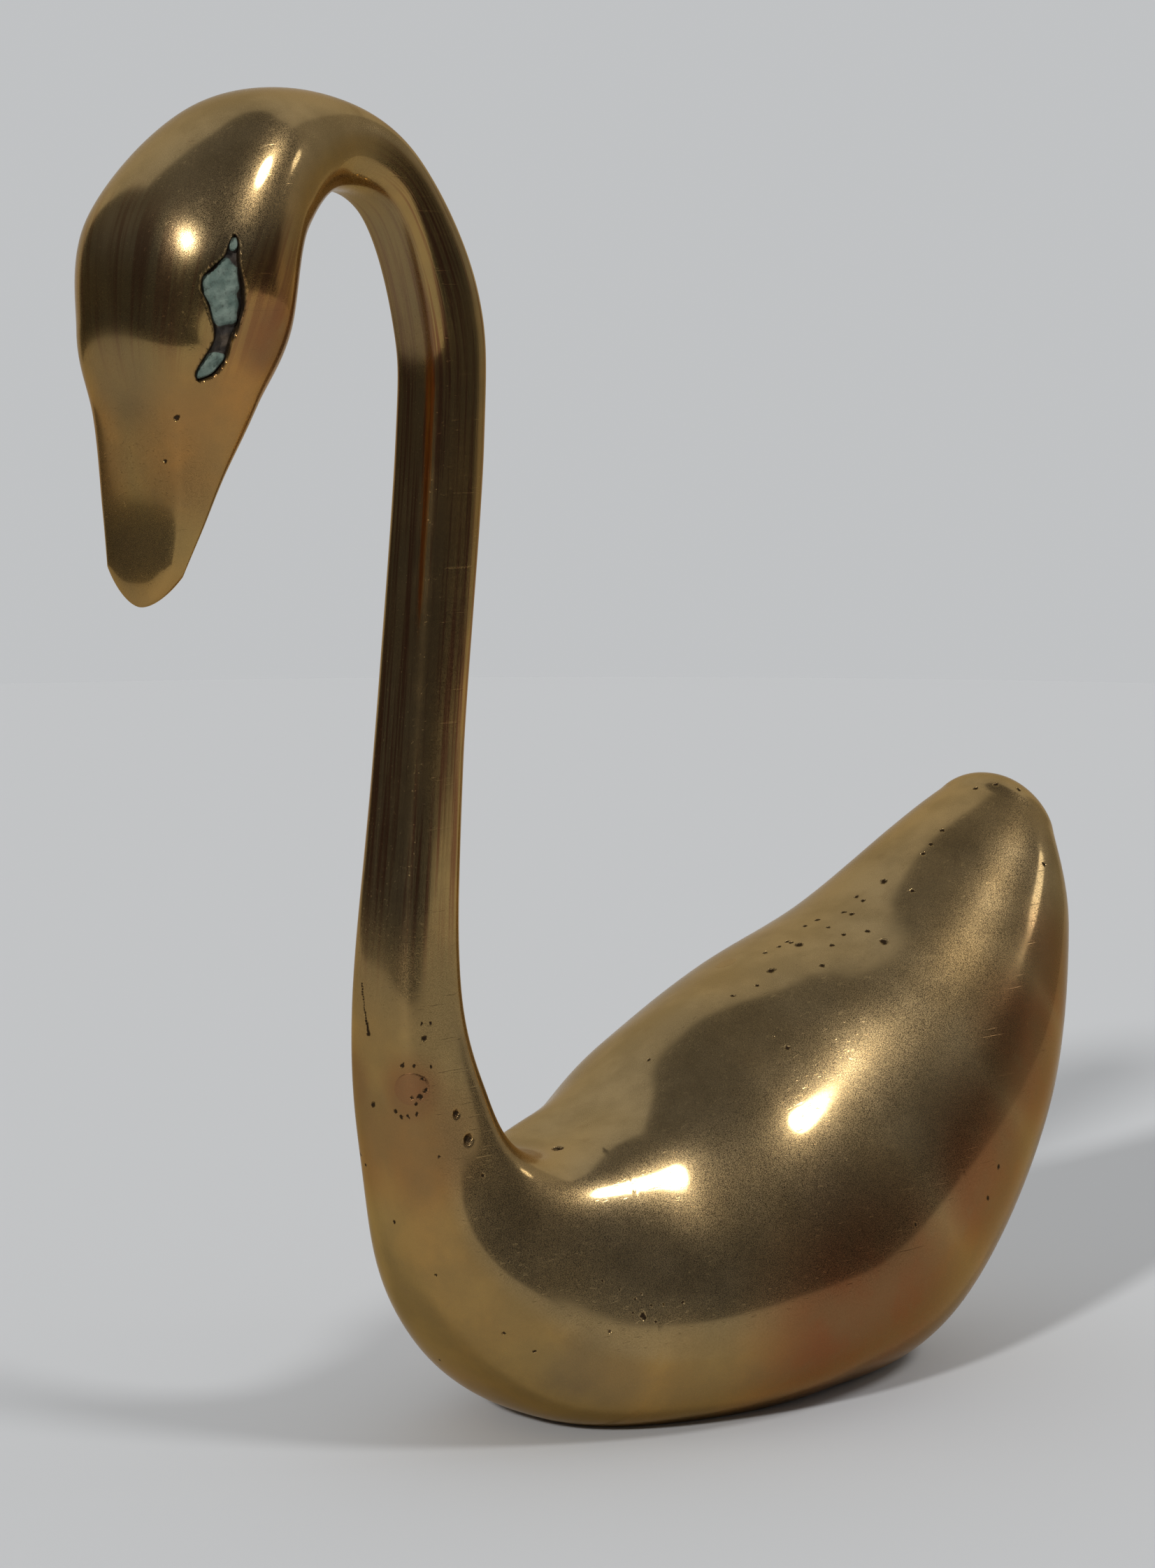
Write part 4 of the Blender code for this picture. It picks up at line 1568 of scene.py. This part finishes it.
@dataclass
class FlushPinPiece(Piece):
    """A brass pin or plug filed flush with the skin.

    Attributes:
        mouth: where its axis meets the skin, in millimetres.
        axis: its outward direction.
        diameter: its diameter.
        depth: how deep its finished end goes.
        seed: a place and a turn near the mouth.
    """

    mouth: Triple = (0.0, 0.0, 0.0)
    axis: Triple = (0.0, 0.0, 1.0)
    diameter: float = 3.0
    depth: float = 2.0
    seed: tuple[float, float] = (0.0, 0.0)

    def build(self) -> bpy.types.Object:
        """Build a disc of points on the skin, a little proud and rounded at its rim, over a short shank.

        Returns:
            The object.
        """
        form, surface = self.form, Surface()
        outward = unit(self.axis)
        down = np.array([0.0, 0.0, -1.0]) if abs(outward[2]) < 0.8 else np.array([1.0, 0.0, 0.0])
        down = unit(tuple(down - outward * (down @ outward)))
        across = np.cross(outward, down)
        mouth = np.array(self.mouth) + np.array([form.shift_x, 0, 0])
        share = np.linspace(0.04, 1.0, 20)[:, None]
        angle = full_turn(72)[None, :]
        radius = self.diameter / 2 * share
        skin = form.patch(mouth, down, across, radius * np.cos(angle), radius * np.sin(angle), self.seed)
        skin = skin + outward * rise(skin, form.shift_x)[..., None]
        proud = 0.02 - 0.05 * soft_step(share, 0.85, 1.0)
        top = skin + outward * proud[..., None]
        shank = skin[-1:] - outward * self.depth
        grid = surface.add_points(np.concatenate([top, shank]))
        surface.add_quads(grid, wrap=True)
        surface.add_fan(grid[0], top[0].mean(axis=0), flip=True)
        surface.add_fan(grid[-1], shank[0].mean(axis=0))
        return surface.make(self.name)


@dataclass(frozen=True)
class Viewpoint:
    """The camera, in millimetres and degrees.

    Attributes:
        target: the point that it looks at.
        swing: how far it is swung from straight before the swan towards its left side.
        height: how far above level it stands.
        distance: how far it is from the target.
        lens: its focal length.
    """

    target: Triple = (-6.268, 0.0, 63.5)
    swing: float = 46.0
    height: float = 7.0
    distance: float = 380.0
    lens: float = 88.28

    def make(self) -> bpy.types.Object:
        """Make the camera and set it as the scene's own.

        Returns:
            The camera.
        """
        swing, height = math.radians(self.swing), math.radians(self.height)
        level = math.cos(height)
        back = Vector((-math.cos(swing) * level, -math.sin(swing) * level, math.sin(height)))
        lens = bpy.data.cameras.new("viewpoint")
        lens.lens = self.lens
        lens.sensor_width = 36.0
        lens.clip_start = 0.01
        lens.clip_end = 20.0
        camera = bpy.data.objects.new("viewpoint", lens)
        camera.location = (Vector(self.target) + back * self.distance) * MM
        camera.rotation_euler = (-back).to_track_quat("-Z", "Y").to_euler()
        bpy.context.scene.collection.objects.link(camera)
        bpy.context.scene.camera = camera
        return camera


@dataclass(frozen=True)
class Lamp:
    """A distant lamp.

    Attributes:
        name: its name.
        towards: the direction towards it.
        strength: its strength.
        width: its width in degrees.
    """

    name: str
    towards: Triple
    strength: float
    width: float

    def make(self) -> bpy.types.Object:
        """Make the lamp.

        Returns:
            The lamp.
        """
        light = bpy.data.lights.new(self.name, "SUN")
        light.energy = self.strength
        light.angle = math.radians(self.width)
        lamp = bpy.data.objects.new(self.name, light)
        lamp.rotation_euler = Vector(self.towards).to_track_quat("Z", "Y").to_euler()
        bpy.context.scene.collection.objects.link(lamp)
        return lamp


@dataclass(frozen=True)
class Stage:
    """A pale round floor, and a room that is pale behind the swan and dim elsewhere.

    Attributes:
        floor_radius: the floor's radius in millimetres.
        floor_set_back: how far behind the swan the floor's middle lies.
        floor_colour: the floor's colour.
        backdrop: how bright the background is.
        dim: how bright the room is above the swan.
        low: how bright it is beside the swan.
        side: how bright it is to the right behind the swan.
        front: how bright it is before the swan.
        ambient: how bright the even light from behind is.
        fill: how bright the even light from before is.
        top: the sine of the height at which the pale background ends.
        left: the sine of the angle to the left at which it ends.
        right: the sine of the angle to the right at which it ends.
        swing: the camera's swing in degrees, which the background lies opposite.
    """

    floor_radius: float = 720.0
    floor_set_back: float = 60.0
    floor_colour: Colour = (0.59, 0.60, 0.61, 1.0)
    backdrop: Colour = (0.53, 0.54, 0.55, 1.0)
    dim: Colour = (0.118, 0.121, 0.134, 1.0)
    low: Colour = (0.062, 0.064, 0.074, 1.0)
    side: Colour = (0.30, 0.30, 0.30, 1.0)
    front: Colour = (0.056, 0.059, 0.072, 1.0)
    ambient: Colour = (0.70, 0.70, 0.70, 1.0)
    fill: Colour = (0.15, 0.15, 0.15, 1.0)
    top: float = 0.925
    left: float = -0.66
    right: float = 0.60
    swing: float = 46.0

    def make_floor(self) -> bpy.types.Object:
        """Make the floor as a disc of rings.

        Returns:
            The floor.
        """
        surface = Surface()
        radius = np.linspace(8.0, self.floor_radius, 12)[:, None]
        angle = full_turn(96)[None, :]
        swing = math.radians(self.swing)
        away = self.floor_set_back * np.array([math.cos(swing), math.sin(swing), 0.0])
        middle = away - np.array([0.0, 0.0, 0.02])
        disc = [radius * np.cos(angle), radius * np.sin(angle), 0 * radius * angle]
        points = middle + np.stack(disc, axis=-1)
        grid = surface.add_points(points)
        surface.add_quads(grid, wrap=True)
        surface.add_fan(grid[0], middle, flip=True)
        floor = surface.make("floor")
        material = bpy.data.materials.new("floor_paper")
        material.use_nodes = True
        shader = material.node_tree.nodes["Principled BSDF"]
        shader.inputs["Base Color"].default_value = self.floor_colour
        shader.inputs["Roughness"].default_value = 0.9
        shader.inputs["Specular IOR Level"].default_value = 0.1
        floor.data.materials.append(material)
        return floor

    def make_room(self) -> bpy.types.World:
        """Make the world: pale to the camera, and to reflections pale behind the swan and dim elsewhere.

        Returns:
            The world.
        """
        world = bpy.data.worlds.new("room")
        world.use_nodes = True
        world.node_tree.nodes.clear()
        graph = Graph(world.node_tree)
        heading = graph.add("TexCoord").outputs["Generated"]
        swing = math.radians(self.swing)
        away = (math.cos(swing), math.sin(swing), 0.0)
        right = (math.sin(swing), -math.cos(swing), 0.0)
        behind = graph.vector("DOT_PRODUCT", heading, away, output="Value")
        aside = graph.vector("DOT_PRODUCT", heading, right, output="Value")
        up = graph.add("SeparateXYZ", {0: heading}).outputs[2]
        below = graph.ramp(up, self.top - 0.02, self.top + 0.02, 1.0, 0.0)
        wall = graph.math("MULTIPLY", graph.ramp(behind, 0.20, 0.30), below)
        wall = graph.math("MULTIPLY", wall, graph.ramp(aside, self.left - 0.03, self.left + 0.03))
        wall = graph.math("MULTIPLY", wall, graph.ramp(aside, self.right - 0.03, self.right + 0.03, 1.0, 0.0))
        rest = graph.mix(graph.ramp(up, 0.05, 0.50), self.low, self.dim)
        rest = graph.mix(graph.ramp(behind, -0.55, 0.05), self.front, rest)
        corner = graph.math("MULTIPLY", graph.ramp(behind, 0.12, 0.35), graph.ramp(aside, 0.45, 0.65))
        rest = graph.mix(corner, rest, self.side)
        mirrored = graph.mix(wall, rest, self.backdrop)
        path = graph.add("LightPath")
        even = graph.mix(graph.ramp(behind, -0.8, 0.8), self.fill, self.ambient)
        seen = graph.mix(path.outputs["Is Glossy Ray"], even, mirrored)
        seen = graph.mix(path.outputs["Is Camera Ray"], seen, self.backdrop)
        graph.end(graph.add("Background", {"Color": seen, "Strength": 1.0}), "OutputWorld")
        bpy.context.scene.world = world
        return world


LAMPS = (
    Lamp("lamp_right", (0.225, -0.608, 0.761), 0.85, 12.0),
    Lamp("lamp_front", (-0.82, -0.28, 0.46), 1.9, 5.0),
    Lamp("lamp_side", (0.78, -0.47, 0.42), 0.05, 8.0),
)


def main() -> None:
    """Build the swan piece by piece, then its stage, lamps and camera."""
    logging.basicConfig(level=logging.INFO, format="%(message)s")
    scene = bpy.context.scene
    scene.view_settings.view_transform = "Standard"
    Viewpoint().make()
    form = SwanForm(SECTIONS)
    effects = {
        "tarnish_and_shade": make_tarnish_and_shade(),
        "haze": make_haze(),
        "handling": make_handling(),
        "filing": make_filing(),
        "pits": make_pits(form),
        "pinholes": make_pinholes(),
    }
    skin = BrassFinish("old_brass_body", Grade.SKIN, 0.085, 0.03, 0.05).make(effects)
    bar = BrassFinish("old_brass_bar", Grade.SKIN, 0.085, 0.03, 0.01).make(effects)
    head = BrassFinish("old_brass_head", Grade.SKIN, 0.085, 0.05, 0.01).make(effects)
    pin = BrassFinish("old_brass_pin", Grade.PIN, 0.16, 0.3, 0.0, ember=0.9).make(effects)
    plug = BrassFinish("old_brass_plug", Grade.PIN, 0.12, 0.2, 0.0).make(effects)
    crust = CrustFinish().make()
    dressed = (
        (BodyPiece(form, "swan_body", "body_shell", "brass"), skin),
        (NeckPiece(form, "swan_neck", "neck_bar", "brass"), bar),
        (HeadPiece(form, "swan_head", "head", "brass"), head),
        (EyeFillPiece(form, "swan_left_eye", "left_eye_fill", "eye_fill", half=Half.LEFT), crust),
        (EyeFillPiece(form, "swan_right_eye", "right_eye_fill", "eye_fill", half=Half.RIGHT), crust),
        (FlushPinPiece(form, "swan_neck_pin", "neck_pin", "pin_brass", mouth=(-26.18, -4.47, 37.11),
                       axis=(-0.78, -0.62, 0.0), diameter=3.4, depth=3.0,
                       seed=(8.615, math.radians(227.75))), pin),
        (FlushPinPiece(form, "swan_back_plug", "back_plug", "brass", mouth=(24.30, 2.84, 42.38),
                       axis=(-0.36, 0.08, 0.93), diameter=2.6, depth=2.5,
                       seed=(3.135, math.radians(82.75))), plug),
    )
    for piece, material in dressed:
        piece.dress(piece.build(), material)
    stage = Stage()
    stage.make_floor()
    stage.make_room()
    for lamp in LAMPS:
        lamp.make()


if __name__ == "__main__":
    main()
